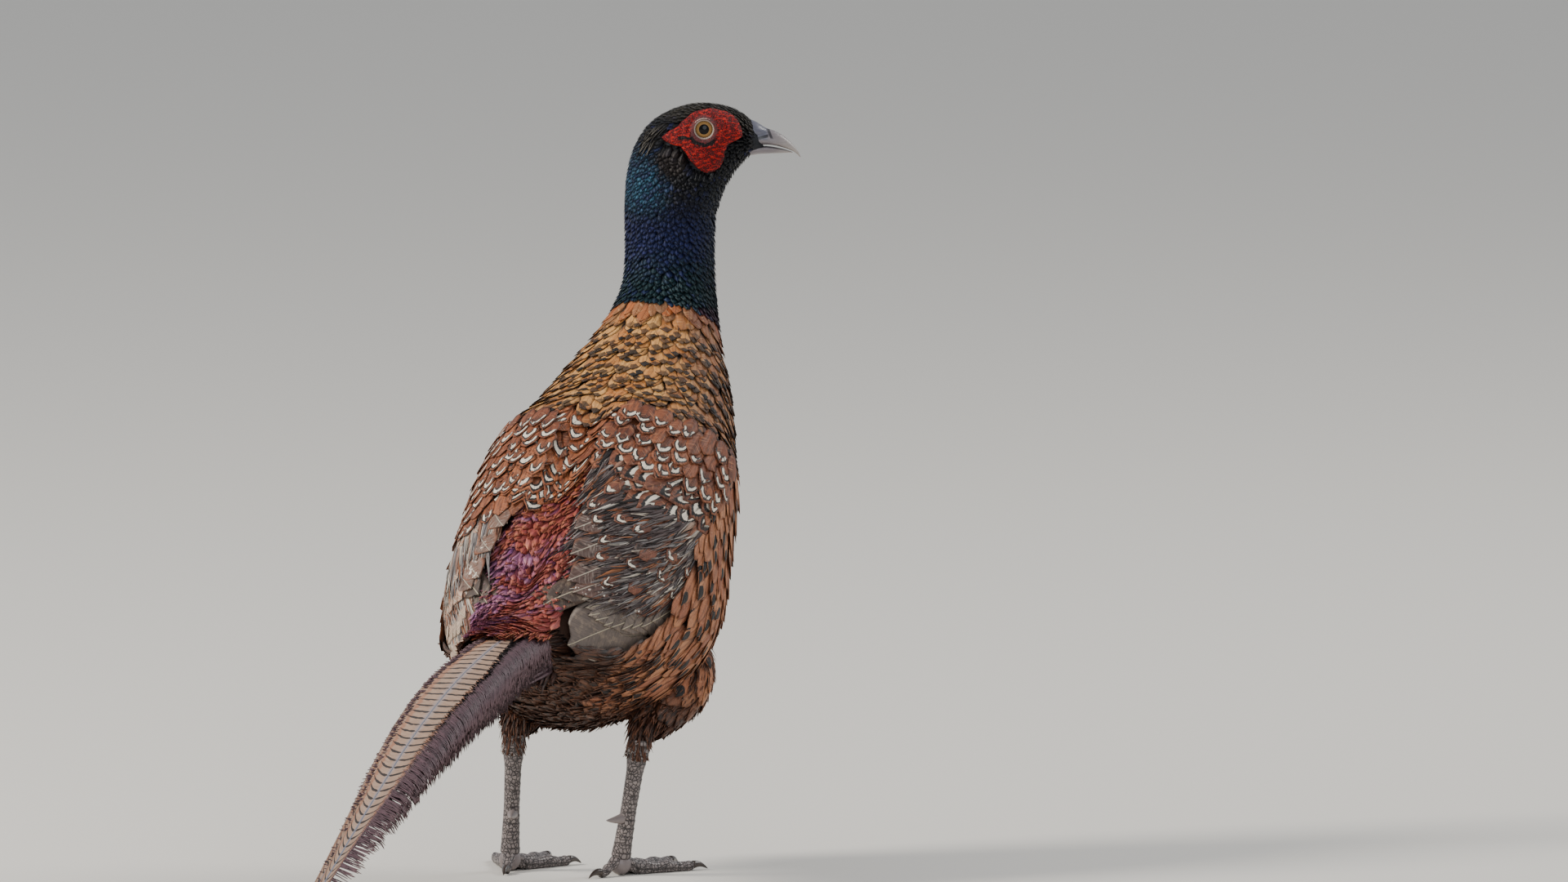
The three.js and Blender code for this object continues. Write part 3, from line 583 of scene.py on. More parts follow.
def rows_of_roots(surface, first, last, exposed, spacing, jitter, keep, span=ALL_ROUND):
    """Staggered roots in rows down a surface: places and angles."""
    places, angles = [], []
    place, row = first, 0
    samples = np.linspace(*span, RING_SAMPLES)
    while place > last:
        ring_place = np.full(RING_SAMPLES, place)
        ring = surface(ring_place, samples)
        arc = np.concatenate([[0], np.cumsum(np.linalg.norm(np.diff(ring, axis=0), axis=1))])
        count = max(int(arc[-1] / spacing), 3)
        stagger = 0.5 * (row % 2)
        at = (np.arange(count) + (stagger if span == ALL_ROUND else stagger * 0.5 + 0.25)) / count
        at = (at + jitter * rng.normal(size=count) / count) % 1
        angles.append(np.interp(at * arc[-1], arc, samples))
        per_place = metric(surface, ring_place, samples)[0]
        row_step = exposed / max(np.median(per_place), 5)
        places.append(place + jitter * row_step * rng.normal(size=count))
        place -= row_step
        row += 1
    place, angle = np.concatenate(places), np.concatenate(angles)
    chosen = keep(place, angle)
    return place[chosen], angle[chosen]


def strewn_roots(surface, first, last, spacing, span=ALL_ROUND, keep=None):
    """Roots strewn evenly over a surface, no two nearer than about the spacing."""
    place = rng.uniform(last, first, CANDIDATES)
    angle = rng.uniform(*span, CANDIDATES)
    per_place, per_angle = metric(surface, place, angle)
    area = per_place * per_angle
    chosen = rng.random(CANDIDATES) < area / area.max()
    if keep is not None:
        chosen &= keep(place, angle)
    place, angle = place[chosen], angle[chosen]
    points = surface(place, angle)
    steps = [(x, y, z) for x in (-1, 0, 1) for y in (-1, 0, 1) for z in (-1, 0, 1)]
    cells, kept = {}, []
    for i, (x, y, z) in enumerate(map(tuple, np.floor(points / (spacing / 1.5)).astype(int))):
        near = [cells.get((x + dx, y + dy, z + dz)) for dx, dy, dz in steps]
        if all(j is None or ((points[i] - points[j]) ** 2).sum() > (0.8 * spacing) ** 2 for j in near):
            cells[x, y, z] = i
            kept.append(i)
    return place[kept], angle[kept]


# Materials


def colour(code):
    """A linear colour from its usual hexadecimal form."""
    values = np.array([int(code[i : i + 2], 16) for i in (0, 2, 4)]) / 255
    linear = np.where(values <= 0.04045, values / 12.92, ((values + 0.055) / 1.055) ** 2.4)
    return (*(float(v) for v in linear), 1.0)


class Value:
    """What a material's node gives; sums, products and the like of values make further nodes."""

    def __init__(self, paint, socket):
        self.paint, self.socket = paint, socket

    def __add__(self, other):
        return self.paint.math("ADD", self, other)

    def __sub__(self, other):
        return self.paint.math("SUBTRACT", self, other)

    def __rsub__(self, other):
        return self.paint.math("SUBTRACT", other, self)

    def __mul__(self, other):
        return self.paint.math("MULTIPLY", self, other)

    def __truediv__(self, other):
        return self.paint.math("DIVIDE", self, other)

    def __abs__(self):
        return self.paint.math("ABSOLUTE", self)

    __radd__ = __add__
    __rmul__ = __mul__


class Paint:
    """A material whose nodes are written as short expressions."""

    def __init__(self, name, roughness, **sockets):
        self.material = bpy.data.materials.new(name)
        self.material.use_nodes = True
        self.tree = self.material.node_tree
        self.shader = self.tree.nodes["Principled BSDF"]
        self.shader.inputs["Roughness"].default_value = roughness
        for key, value in sockets.items():
            self.shader.inputs[key.replace("_", " ")].default_value = value

    def link(self, value, socket):
        if isinstance(value, Value):
            self.tree.links.new(value.socket, socket)
        else:
            socket.default_value = value

    def make(self, kind, inputs, output=0, **settings):
        node = self.tree.nodes.new(kind)
        for key, value in settings.items():
            setattr(node, key, value)
        for key, value in inputs.items():
            self.link(value, node.inputs[key])
        return Value(self, node.outputs[output])

    def math(self, operation, *values):
        return self.make("ShaderNodeMath", dict(enumerate(values)), operation=operation)

    def fract(self, value):
        return self.math("FRACT", value)

    def largest(self, a, b):
        return self.math("MAXIMUM", a, b)

    def length(self, a, b):
        return self.math("SQRT", a * a + b * b)

    def step(self, value, low, high):
        """0 below low, 1 above high, smooth between; turned round where low is above high."""
        inputs = {"Value": value, "From Min": low, "From Max": high}
        return self.make("ShaderNodeMapRange", inputs, interpolation_type="SMOOTHSTEP")

    def band(self, value, low, high, soft):
        return self.step(value, low - soft, low) * self.step(value, high + soft, high)

    def mix(self, share, a, b):
        a, b = (colour(value) if isinstance(value, str) else value for value in (a, b))
        return self.make("ShaderNodeMix", {"Factor": share, 6: a, 7: b}, 2, data_type="RGBA")

    def split(self, vector):
        return [self.make("ShaderNodeSeparateXYZ", {0: vector}, i) for i in range(3)]

    def uv(self, name):
        return self.split(self.make("ShaderNodeUVMap", {}, uv_map=name))[:2]

    def mark(self, name):
        return self.make("ShaderNodeAttribute", {}, "Fac", attribute_name=name)

    def place(self):
        return self.make("ShaderNodeTexCoord", {}, "Object")

    def vector(self, x, y, z=0.0):
        return self.make("ShaderNodeCombineXYZ", {0: x, 1: y, 2: z})

    def noise(self, vector, scale, detail=3.0):
        return self.make("ShaderNodeTexNoise", {"Vector": vector, "Scale": scale, "Detail": detail})

    def cells(self, vector, scale, feature="F1"):
        inputs = {"Vector": vector, "Scale": scale}
        return self.make("ShaderNodeTexVoronoi", inputs, "Distance", feature=feature)

    def bump(self, height, distance):
        normal = self.make("ShaderNodeBump", {"Height": height, "Distance": distance, "Strength": 1.0})
        self.link(normal, self.shader.inputs["Normal"])

    def coloured(self, ground, *layers):
        """The material with its colour: a ground and what lies over it, each with its share first."""
        for share, over in layers:
            ground = self.mix(share, ground, over)
        self.link(ground, self.shader.inputs["Base Color"])
        return self.material


class Vane(Paint):
    """A feather's material, with its measures: v runs from root to tip, and a from shaft to edge."""

    def __init__(self, name, roughness, barb_bump=0.0004, **sockets):
        super().__init__(name, roughness, **sockets)
        x, self.v = self.uv("Vane")
        self.side = x * 2.0 - 1.0
        self.a = abs(self.side)
        self.across, self.along = self.uv("Span")
        self.chance = self.mark("chance")
        reach = abs(self.across)
        barb = (self.along - reach * 0.8) * 1.1
        self.barbs = self.noise(self.vector(barb, self.across * 0.16, self.chance * 40.0), 1.0)
        lengthwise = self.vector(self.across * 0.75, self.along * 0.13, self.chance * 31.0)
        self.grain = self.noise(lengthwise, 1.0)
        self.mottle = self.noise(self.vector(self.across, self.along, self.chance * 60.0), 0.35)
        self.shaft = self.step(reach, 0.45, 0.15)
        self.bump(self.barbs + self.shaft * 0.8, barb_bump)
        # Distance from the middle of the tip's curve: 0 there and 1 all round the tip's edge
        beyond = self.largest(self.v - 0.45, 0.0) * (1 / 0.55)
        self.rim = self.length(self.a, beyond)

    def rough_edge(self, amount):
        """A value that wavers with the barbs, to fray a marking's edge."""
        return (self.barbs - 0.5) * amount

    def varied(self, a, b):
        """A colour that differs from feather to feather."""
        return self.mix(self.chance, a, b)


def head_feather(name):
    """Glossy dark plumage of head and neck: violet at its foot, then teal, blue and near black."""
    p = Vane(name, 0.48, 0.00025, Metallic=0.35, Specular_IOR_Level=0.4)
    zone = p.mark("zone") + (p.chance - 0.5) * 0.14
    ground = p.mix(p.step(zone, 0.26, 0.6), "0c2c32", "101b48")
    layers = [
        (p.step(zone, 0.6, 0.92), "0c0d13"),
        (p.step(p.chance, 0.72, 1.0) * 0.4, "242a66"),
        (p.mark("front") * 0.7, "0a161b"),
        # nape_sheen: lighter teal-blue at the back of the head, a painted sheen where the gloss catches the
        # light
        (p.mark("nape_sheen") * 0.8, p.varied("16244e", "2c6078")),
        (p.mark("crown") * 0.85, p.varied("231f1b", "4c463a")),
        (p.mark("ear") * 0.9, p.mix(p.barbs, "100b0a", "2c201c")),
    ]
    shade = p.step(p.v + p.rough_edge(0.2), 0.35, 0.85) * -0.65 + 0.65
    ground = p.mix(p.step(zone, 0.02, 0.14), "4a2238", ground)
    return p.coloured(ground, *layers, (shade, "05060a"), (p.step(p.rim, 0.86, 1.0) * 0.5, "04050a"))


def gold_feather():
    """Golden to copper, each feather with a black wedge at its tip and dark sides; browner on the right side,
    which is painted shade.
    """
    p = Vane("gold_feather", 0.65)
    warm = p.mark("warm")
    # warm turns the gold browner, with larger black wedges: copper towards the cape and lower sides, and
    # painted shade on the right side
    uneven = (p.fract(p.chance * 7.0) - 0.5) * 0.1
    height = p.v + abs(p.across) * -0.045 + p.rough_edge(0.16) + uneven + warm * 0.05
    edge = p.step(p.a + p.rough_edge(0.14), 0.8, 0.92) * p.step(p.v, 0.5, 0.68) * 0.8
    return p.coloured(
        p.mix(warm, p.varied("bc7430", "dca45e"), p.varied("744630", "a87450")),
        (p.mark("red") * 0.75, p.mix(p.chance + warm * 0.6, "b85618", "4c2020")),
        (p.step(p.grain, 0.42, 0.68) * 0.5, "6e3a1a"),
        (p.step(p.barbs, 0.5, 0.75) * 0.3, "f0c890"),
        (p.step(p.v, 0.5, 0.15), "3a2a22"),
        (p.largest(p.step(height, 0.7, 0.74), edge) * p.mark("mark"), "0c0807"),
    )


def chestnut_feather():
    """Chestnut with a cream band, edged in black, that follows the tip; white says how strong it is."""
    p = Vane("chestnut_feather", 0.6)
    white, size, wine = p.mark("white"), p.mark("size"), p.mark("wine")
    rim = p.rim + p.rough_edge(0.12) + (p.chance - 0.5) * 0.16
    grain = p.noise(p.vector(p.side * 1.3, p.v * 1.6, p.chance * 37.0), 1.6, 1.0)
    reach = p.step(p.v - (0.6 - size * 0.15), -0.04, 0.05) * p.step(white, 0.15, 0.4)
    thick = 0.13 + p.fract(p.chance * 9.0) * 0.12 + (1.0 - size) * 0.1
    inside = rim - 0.7 + thick
    black = p.step(inside, -0.14, -0.09) * p.step(rim, 0.87, 0.83) * reach * p.step(grain, 0.3, 0.4)
    cream = p.step(inside, -0.02, 0.03) * p.step(rim, 0.73, 0.69) * reach * p.step(grain, 0.38, 0.46)
    return p.coloured(
        p.varied("80401f", "ab6238"),
        # wine darkens towards wine-brown: partly a wine tint, partly painted shade on the right side of the
        # back and the right wing
        (wine * 0.8, p.varied("4c2c24", "6e4234")),
        (p.step(p.grain, 0.4, 0.64) * 0.6, "30170e"),
        (p.step(p.barbs, 0.52, 0.72) * 0.35, "d0946a"),
        (p.step(rim, 0.56, 0.44) * reach * 0.25, "2c1c16"),
        (black, "100b0a"),
        (cream * 0.95, "ece0cc"),
    )


def rump_feather():
    """Rose and violet, with frayed orange tips and dark mottles towards the back."""
    p = Vane("rump_feather", 0.5, 0.0003, Metallic=0.1)
    zone = p.mark("zone")
    tip = p.step(p.v + p.rough_edge(0.6), 0.66, 0.92)
    return p.coloured(
        p.varied("a24644", "c87066"),
        (p.step(p.mark("violet"), 0.45, 0.8) * 0.8, p.varied("8a5a9c", "b884ac")),
        (tip * (zone * 0.65 + 0.3), p.varied("b45c24", "d08a48")),
        (p.step(p.mottle, 0.54, 0.64) * zone * 0.6, "3a1810"),
        (p.step(p.grain, 0.42, 0.66) * 0.5, "5a2024"),
    )


def breast_feather():
    """Copper with a long black spot at the tip of many a feather; hairy brown where dark."""
    p = Vane("breast_feather", 0.55, Metallic=0.1)
    dark, plum = p.mark("dark"), p.mark("plum")
    far = p.length((p.v - 0.85) * (1 / 0.18), p.a * (1 / 0.62))
    spotted = p.step(p.fract(p.chance * 7.0) + plum * 0.6, 0.6, 0.64)
    spot = p.step(far + p.rough_edge(0.4), 1.06, 0.9) * spotted
    edge = p.step(p.a, 0.88, 0.97) * p.step(p.v, 0.5, 0.75) * (plum * 0.8)
    return p.coloured(
        p.varied("95573a", "bd8058"),
        (plum * 0.6, "6a2a3e"),
        (p.step(p.grain, 0.42, 0.64) * 0.5, "5a2f1e"),
        (p.step(p.barbs, 0.52, 0.74) * 0.3, "dca880"),
        (p.step(p.v, 0.45, 0.1), "2a1c18"),
        (p.largest(spot, edge), "0c0808"),
        (dark, p.mix(p.step(p.grain, 0.36, 0.66), "5c3a28", "1c110d")),
    )


def covert_feather():
    """Wing coverts: mauve-brown and streaked, with a pale shaft; pale ones are cream with rusty sides, and
    the pale mark also carries the painted light of the left wing.
    """
    p = Vane("covert_feather", 0.62)
    pale = p.mark("pale")
    outside = p.step(p.v, 0.4, 0.65)
    spots = p.step(p.mottle, 0.6, 0.66) * outside * p.step(p.a, 0.6, 0.4) * p.step(p.chance, 0.35, 0.45)
    blots = p.step(p.mottle, 0.42, 0.36) * outside * p.step(p.a, 0.75, 0.5)
    return p.coloured(
        p.varied("4e3c36", "6a5048"),
        (p.step(pale, 0.3, 1.0) * 0.85, p.varied("b4937c", "d2b49c")),
        (p.step(p.grain, 0.4, 0.62) * 0.6, p.mix(pale, "241a18", "9a5c38")),
        (p.step(p.barbs, 0.5, 0.7) * 0.45, p.mix(pale, "a09084", "e8d8c8")),
        (p.step(p.a + p.rough_edge(0.3), 0.6, 0.9) * 0.7, p.mix(pale, "6e4430", "a05a34")),
        (spots, "e9e0d2"),
        (blots * 0.6, "18120f"),
        (p.shaft * 0.6, "c8bca8"),
    )


def quill_feather():
    """Flight feathers of the wing: smooth grey-brown, finely lined along the barbs, with pale edges."""
    p = Vane("quill_feather", 0.55)
    # pale is each feather's own paleness plus, on the left wing, painted light
    pale = p.mark("pale")
    dim = p.step(pale, 0.0, -0.3)
    return p.coloured(
        p.varied("62554c", "82746a"),
        (p.step(pale, 0.3, 1.0) * 0.8, p.varied("bc9c84", "dcc0a8")),
        (dim, p.mix(p.barbs, "382c27", "5c4a40")),
        (p.step(p.mottle, 0.5, 0.66) * 0.3, "a8927a"),
        (p.step(p.barbs, 0.38, 0.68) * 0.45, "3a3330"),
        (p.step(p.a, 0.8, 0.98) * 0.7, p.mix(dim, "bdb1a4", "6a564a")),
        (p.shaft * 0.7, "c4b69c"),
    )


def streak_feather():
    """Narrow loose streaks of the wing, from near black by brown and grey to cream, some rusty."""
    p = Vane("streak_feather", 0.62)
    tone = p.mark("tone")
    return p.coloured(
        p.mix(p.step(tone, 0.0, 0.35), "1a1414", p.varied("463838", "5e4e4c")),
        (p.step(tone, 0.35, 0.68), p.varied("7c726e", "969190")),
        (p.step(tone, 0.68, 1.0), p.varied("c4b4a2", "e6dccc")),
        (p.mark("rust"), p.varied("7c4428", "b87244")),
        (p.step(p.grain, 0.45, 0.65) * 0.35, "2a1e1a"),
    )


def tail_feather():
    """Buff with narrow black bars across the shaft, mauve-brown towards its frayed sides."""
    p = Vane("tail_feather", 0.5, 0.0005)
    outer = p.mark("outer")
    # The mauve stays close to the edge on the left side of the tail
    left = p.step(p.side, 0.1, -0.1) * (0.3 - outer * 0.3)
    side = p.step(p.a + p.rough_edge(0.5) + outer * 0.6 - left, 0.66, 0.95)
    slant = p.along + abs(p.across) * -0.22 + (p.mottle - 0.5) * 3.0
    phase = p.fract(slant / (9.5 - outer))
    slim = 0.12 * p.step(p.a, 0.95, 0.5) * p.step(p.a, 0.0, 0.16)
    bar = p.step(abs(phase - 0.5) - slim, 0.03, 0.0) * p.step(slim, 0.0, 0.04) * (1.0 - side * 0.8)
    return p.coloured(
        p.mix(p.mottle, "a08068", "bd9e88"),
        (p.step(p.barbs, 0.4, 0.7) * 0.3, "7a5c4a"),
        (p.band(p.a + p.rough_edge(0.4), 0.66, 0.78, 0.08) * 0.6, "a0603c"),
        (side, p.mix(p.barbs, "3e2c34", "6c4e54")),
        (p.step(p.a, 0.22, 0.04) * 0.45, "9a96a0"),
        (bar * 0.94, "120d0d"),
        (p.shaft * 0.9, "6f7788"),
    )


def fringe_feather(name, light, dark, tip_highlight):
    """Loose, hair-like barbs and down, their tips lighter as a painted highlight."""
    p = Vane(name, 0.55, 0.0002)
    tip = p.step(p.v, 0.6, 1.0) * 0.5
    return p.coloured(p.varied(dark, light), (p.barbs * 0.5, dark), (tip, tip_highlight))


def skin_paint():
    """What shows between the feathers: dark down, warmer on the trunk."""
    p = Paint("skin", 0.8)
    height = p.split(p.place())[2]
    down = p.noise(p.place(), 900.0)
    p.bump(down, 0.0004)
    neck = p.mix(down, "07090e", "12161e")
    return p.coloured(p.mix(down, "2c1a12", "4a2c1c"), (p.step(height, 0.262, 0.272), neck))


def wattle_paint():
    p = Paint("wattle", 0.6, Subsurface_Weight=0.05, Specular_IOR_Level=0.25)
    forward, above = p.uv("Face")
    pebbles = p.cells(p.vector(forward, above), 1.5)
    folds = p.noise(p.vector(forward * 0.5, above * 1.3), 0.7)
    far = p.length(forward, above)
    # Lines of tiny black feathers curve under the eye and run back behind it
    waver = (folds - 0.5) * 2.6
    under = p.band(far + waver, 6.6, 7.9, 0.35) * p.step(above, -2.6, -3.8) * p.step(forward, 6.4, 4.6)
    behind = p.band(above + waver, -4.6, -3.4, 0.4) * p.band(forward, -12.0, -5.5, 0.8)
    p.bump((1.0 - pebbles) * 0.8 + folds, 0.0006)
    # The colour follows the bumps: dark red in the pits between the pebbles and where the folds dip is
    # painted shade, the brighter red on the folds' crests is painted highlight
    return p.coloured(
        p.mix(p.step(pebbles, 0.1, 0.55), "b80c0e", "460406"),
        (p.step(folds, 0.5, 0.66) * 0.6, "d82a1c"),
        (p.step(folds, 0.46, 0.32) * 0.6, "5e060a"),
        (p.step(far, 7.4, 5.6) * 0.75, "59393a"),
        (p.largest(under, behind), "0e0809"),
    )


def bill_paint():
    p = Paint("bill", 0.35, Coat_Weight=0.15)
    forward, above = p.uv("Face")
    streaks = p.noise(p.vector(forward * 0.25, above * 1.6), 1.0)
    # The nostril's blue-grey flap over its slit, and the crease behind it; slit and crease are painted near
    # black as shade
    flap = p.step(forward + (streaks - 0.5) * 3.0, 31.5, 29.0) * p.step(above, -6.4, -5.0)
    level = above - ((forward - 26.5) * 0.25 - 4.9)
    slit = p.band(level, -0.5, 0.5, 0.4) * p.band(forward, 22.0, 30.0, 0.8)
    crease = p.band(forward + (above + 2.0) * 0.4, 30.4, 31.2, 0.5) * p.step(above, -6.0, -4.6)
    p.bump(streaks, 0.0002)
    return p.coloured(
        p.mix(streaks, "5a5256", "8e868a"),
        (p.step(forward, 30.0, 44.0) * 0.5, "beb4a8"),
        (flap, p.mix(streaks, "4c4c58", "767684")),
        (p.largest(slit, crease) * 0.85, "17131a"),
        (p.step(p.mark("seam"), 0.8, 0.93) * 0.85, "1d1617"),
    )


def eye_paint():
    p = Paint("eye", 0.08, IOR=1.25, Coat_Weight=0.12, Coat_Roughness=0.03)
    radius, turn = p.uv("Face")
    rays = p.noise(p.vector(turn * 14.0, radius * 1.5), 1.0, 2.0)
    return p.coloured(
        p.mix(rays, "7c5a30", "b48e58"),
        (p.step(radius, 3.5, 4.1) * 0.85, "3a2610"),
        (p.step(radius, 4.15, 4.3), "0b0908"),
        (p.step(radius, 2.55, 2.35), "020202"),
    )


def grained_paint(name, roughness, light, dark, scale, depth, **sockets):
    """A material with fine grain in its colour and its surface."""
    p = Paint(name, roughness, **sockets)
    grain = p.noise(p.place(), scale, 2.0)
    p.bump(grain, depth)
    return p.coloured(p.mix(grain, dark, light))


def scale_paint():
    p = Paint("leg_scales", 0.45, Coat_Weight=0.1)
    round_leg, along = p.uv("Leg")
    where = p.vector(round_leg, along)
    cracks = p.cells(where, 0.55, "DISTANCE_TO_EDGE")
    p.bump(p.step(cracks, 0.0, 0.16), 0.0004)
    return p.coloured(
        p.mix(p.noise(where, 0.3), "5a5054", "a0948e"),
        (p.step(p.fract(along / 4.0), 0.6, 1.0) * 0.6, "2e2628"),
        (p.step(cracks, 0.12, 0.0), "1d1717"),
    )


# Flesh

SKIN_RINGS = 150
SKIN_AROUND = 64
THIGH_RINGS = 16
THIGH_AROUND = 24


def skin():
    """One closed skin for trunk, neck and head, with the thighs sunk into it."""
    place = np.linspace(-0.55, 21.5, SKIN_RINGS)[:, None]
    depth = np.where(place > 12.5, 1.6, mix(3.6, 2.2, smooth(place, 9, 12)))
    parts = [loft(coat(place, circle(SKIN_AROUND), -depth))]
    share = np.linspace(0, 1, THIGH_RINGS)[:, None]
    parts += [loft(thigh(leg)(share, circle(THIGH_AROUND), -2.0)) for leg in LEGS]
    nodes = ["torso", "neck", "head", "thigh_left", "thigh_right"]
    solid("skin", *joined(parts), skin_paint(), "body_plumage", nodes)


# Coat


def flank_edge(place):
    """How far round the flank feathers reach up over the folded wing."""
    return np.radians(np.interp(place, [0, 1.15, 2.6, 3.65, 4.75, 5.35, 6.2], [78, 86, 93, 89, 82, 77, 70]))


def scatter(n, low, high):
    return rng.uniform(low, high, n)


def stray(n, amount):
    return rng.normal(0, amount, n)


def laid(surface, place, angle, length, width, turn=0.0, rows=5, **settings):
    """Feathers from their roots, lengths and turns."""
    return vanes(surface, flowing(surface, place, angle, length, turn, rows), width, **settings)


def face_measures(place, angle):
    """A head root's place forward of and above the eye, and its side."""
    plane, side = section(HEAD, place - NECK_BLEND[1], angle + HEAD_TWIST)
    return plane[..., 0], plane[..., 1], side


def rim_reach(turn):
    """How far the bare face skin reaches from the eye at a turn round it."""
    rim = np.array(WATTLE_RIM)
    angles = np.arctan2(rim[:, 1], rim[:, 0])
    order = np.argsort(angles)
    angles, far = angles[order], np.hypot(rim[:, 0], rim[:, 1])[order]
    return np.interp(turn, np.concatenate([angles - TURN, angles, angles + TURN]), np.tile(far, 3))


def on_bare_face(place, angle, margin):
    forward, above, side = face_measures(place, angle)
    far = rim_reach(np.arctan2(above, forward))
    return (np.hypot(forward, above) < far + margin) & (np.abs(side) > 5)


def head_marks(place, angle):
    """How much each root belongs to the crown, the ear patch and the painted sheen at the nape, and its
    height as a zone.
    """
    forward, above, side = face_measures(place, angle)
    on_head = smooth(place, 11.8, 12.6)
    height = coat(place, angle)[:, 2]
    by_ear = smooth(np.hypot((forward + 13) / 9, (above + 11) / 8), 1.15, 0.6)
    return {
        "crown": smooth(above + 0.3 * forward, 0, 7) * on_head,
        "ear": by_ear * (np.abs(side) > 6) * on_head,
        "nape_sheen": smooth(forward, -12, -26) * smooth(place, 15.5, 13.5) * smooth(height, 306, 322),
        "front": smooth(forward, -6, 8) * smooth(place, 15, 12.5),
        "zone": np.interp(height, [262, 270, 284, 302, 324], [0.0, 0.22, 0.4, 0.62, 0.95]),
    }


def head_coat():
    def keep(place, angle):
        return ~on_bare_face(place, angle, 0.2) & (face_measures(place, angle)[0] < 24)

    place, angle = strewn_roots(coat, 21.3, 12.2, 1.75, keep=keep)
    n = len(place)
    size = np.clip(3.6 + 0.11 * (14 - face_measures(place, angle)[0]), 3.3, 7.2)
    tracts = [laid(coat, place, angle, size, 0.4 * size + 1.3, turn=stray(n, 0.1), rows=4, low=-1.3,
                   high=scatter(n, 0.05, 0.35), cup=0.2, thick=0.15, **head_marks(place, angle))]
    # The ear tufts: longer, narrow feathers that lie back from behind the crown
    n = 30
    for side, _ in SIDES:
        place = scatter(n, 15.0, 16.3)
        angle = side * scatter(n, 0.35, 0.8) - HEAD_TWIST
        marks = head_marks(place, angle) | {"crown": 1.0}
        tracts.append(laid(coat, place, angle, scatter(n, 9, 13), 2.2, turn=side * scatter(n, -0.1, 0.3),
                           rows=6, low=-0.6, high=scatter(n, 0.6, 1.6), outline=slim_tip, **marks))
    feathers("head_feathers", tracts, head_feather("head_feather"), "head_plumage")


def neck_coat():
    place, angle = strewn_roots(coat, 12.7, 9.62, 2.2)
    n = len(place)
    tract = laid(coat, place, angle, scatter(n, 6.4, 8), scatter(n, 4.0, 5.0), turn=stray(n, 0.09), rows=4,
                 low=-1.7, high=scatter(n, 0.1, 0.45), cup=0.35, thick=0.2, **head_marks(place, angle))
    feathers("neck_feathers", [tract], head_feather("neck_feather"), "neck_plumage")


def mantle_foot(angle):
    """The place where the golden mantle ends, at an angle from the back."""
    return 6.25 + 1.0 * np.sin(np.abs(angle) / 2) ** 2


def mantle_coat():
    def keep(place, angle):
        return place > mantle_foot(folded_angle(angle)) + stray(len(place), 0.06)

    place, angle = rows_of_roots(cloak, 9.66, 6.1, 4.2, 5.4, 0.24, keep)
    n = len(place)
    side = folded_angle(angle)
    # Browner towards the lower sides and the cape; the share on the right side is painted shade
    warm = smooth(side, 0.2, 1.3) * 0.85 + smooth(np.abs(side), 1.6, 2.6) * 0.6
    warm = warm + smooth(place, 7.1, 6.2) * 0.55
    tract = laid(cloak, place, angle, scatter(n, 12, 17), scatter(n, 6.4, 8.6), turn=stray(n, 0.16),
                 low=-1.7, high=scatter(n, 0.1, 0.7), cup=0.5, rows=7, columns=4, ragged=0.1,
                 warm=np.clip(warm + stray(n, 0.14), 0, 1), red=smooth(place + stray(n, 0.06), 9.2, 9.6),
                 mark=smooth(place, 9.5, 9.1) * scatter(n, 0.75, 1))
    feathers("mantle_feathers", [tract], gold_feather(), "body_plumage")


def cape_foot(angle):
    """The place where the chestnut back ends, at an angle from the back; lower on the left."""
    turns = [-85, -60, -38, -24, -12, 0, 8, 14, 24, 38, 60, 85]
    return np.interp(np.degrees(angle), turns, [5.6, 5.2, 4.4, 4.0, 3.9, 4.15, 4.5, 5.0, 4.8, 4.85, 5.2, 5.6])


def cape_coat():
    """Chestnut feathers of the upper back and the shoulders, most with a cream mark."""

    def keep(place, angle):
        side = folded_angle(angle)
        above_wing = np.abs(side) < flank_edge(place) - 0.02
        return (place < mantle_foot(side) + 0.2) & (place > cape_foot(side)) & above_wing

    place, angle = rows_of_roots(cloak, 6.9, 3.9, 5.4, 7.8, 0.3, keep, (-1.62, 1.62))
    n = len(place)
    side = folded_angle(angle)
    turn = np.abs(side)
    big = smooth(place, 6.4, 4.8)
    white = mix(0.7, 1, smooth(turn, 0.05, 0.3)) * smooth(place, 6.6, 6.2)
    white = np.where(rng.random(n) < mix(0.35, 0.88, white), white * scatter(n, 0.6, 1.0), 0)
    # wine grows towards the right side: painted shade
    tract = laid(cloak, place, angle, mix(15, 24, big) + stray(n, 1.5), mix(8.6, 12, big) + stray(n, 0.9),
                 turn=-np.sign(side) * 0.22 * big * smooth(turn, 0.1, 0.6) + stray(n, 0.13), low=-2.0,
                 high=0.5 + 0.9 * big + stray(n, 0.25), cup=0.6, rows=8, columns=6, ragged=0.08,
                 white=white, size=big, wine=smooth(side, -0.1, 0.9))
    feathers("cape_feathers", [tract], chestnut_feather(), "body_plumage")


def rump_coat():
    def keep(place, angle):
        side = folded_angle(angle)
        reach = np.interp(place, [-0.6, 0.4, 1, 1.6, 2.2, 2.8, 3.5], [0.92, 0.76, 0.6, 0.55, 0.5, 0.43, 0.3])
        return (np.abs(side) < reach) & (place < cape_foot(side) + 0.25)

    place, angle = strewn_roots(rump_bed, 5.5, -0.5, 2.2, (-1.15, 1.15), keep)
    n = len(place)
    # Violet comes in patches, strongest low on the left
    side = folded_angle(angle)
    patchy = 0.3 + 0.2 * np.sin(5.3 * place - 7 * side) - 0.5 * side + 0.3 * smooth(place, 4.2, 2.0)
    tract = laid(rump_bed, place, angle, scatter(n, 11, 17), scatter(n, 3.4, 5.2), turn=stray(n, 0.2),
                 low=-2.6, high=scatter(n, 0.4, 2.0), rows=6, ragged=0.12, thick=0.2,
                 zone=smooth(place - 0.8 * side, 2.6, 4.8), violet=patchy + stray(n, 0.15))
    feathers("rump_feathers", [tract], rump_feather(), "body_plumage")


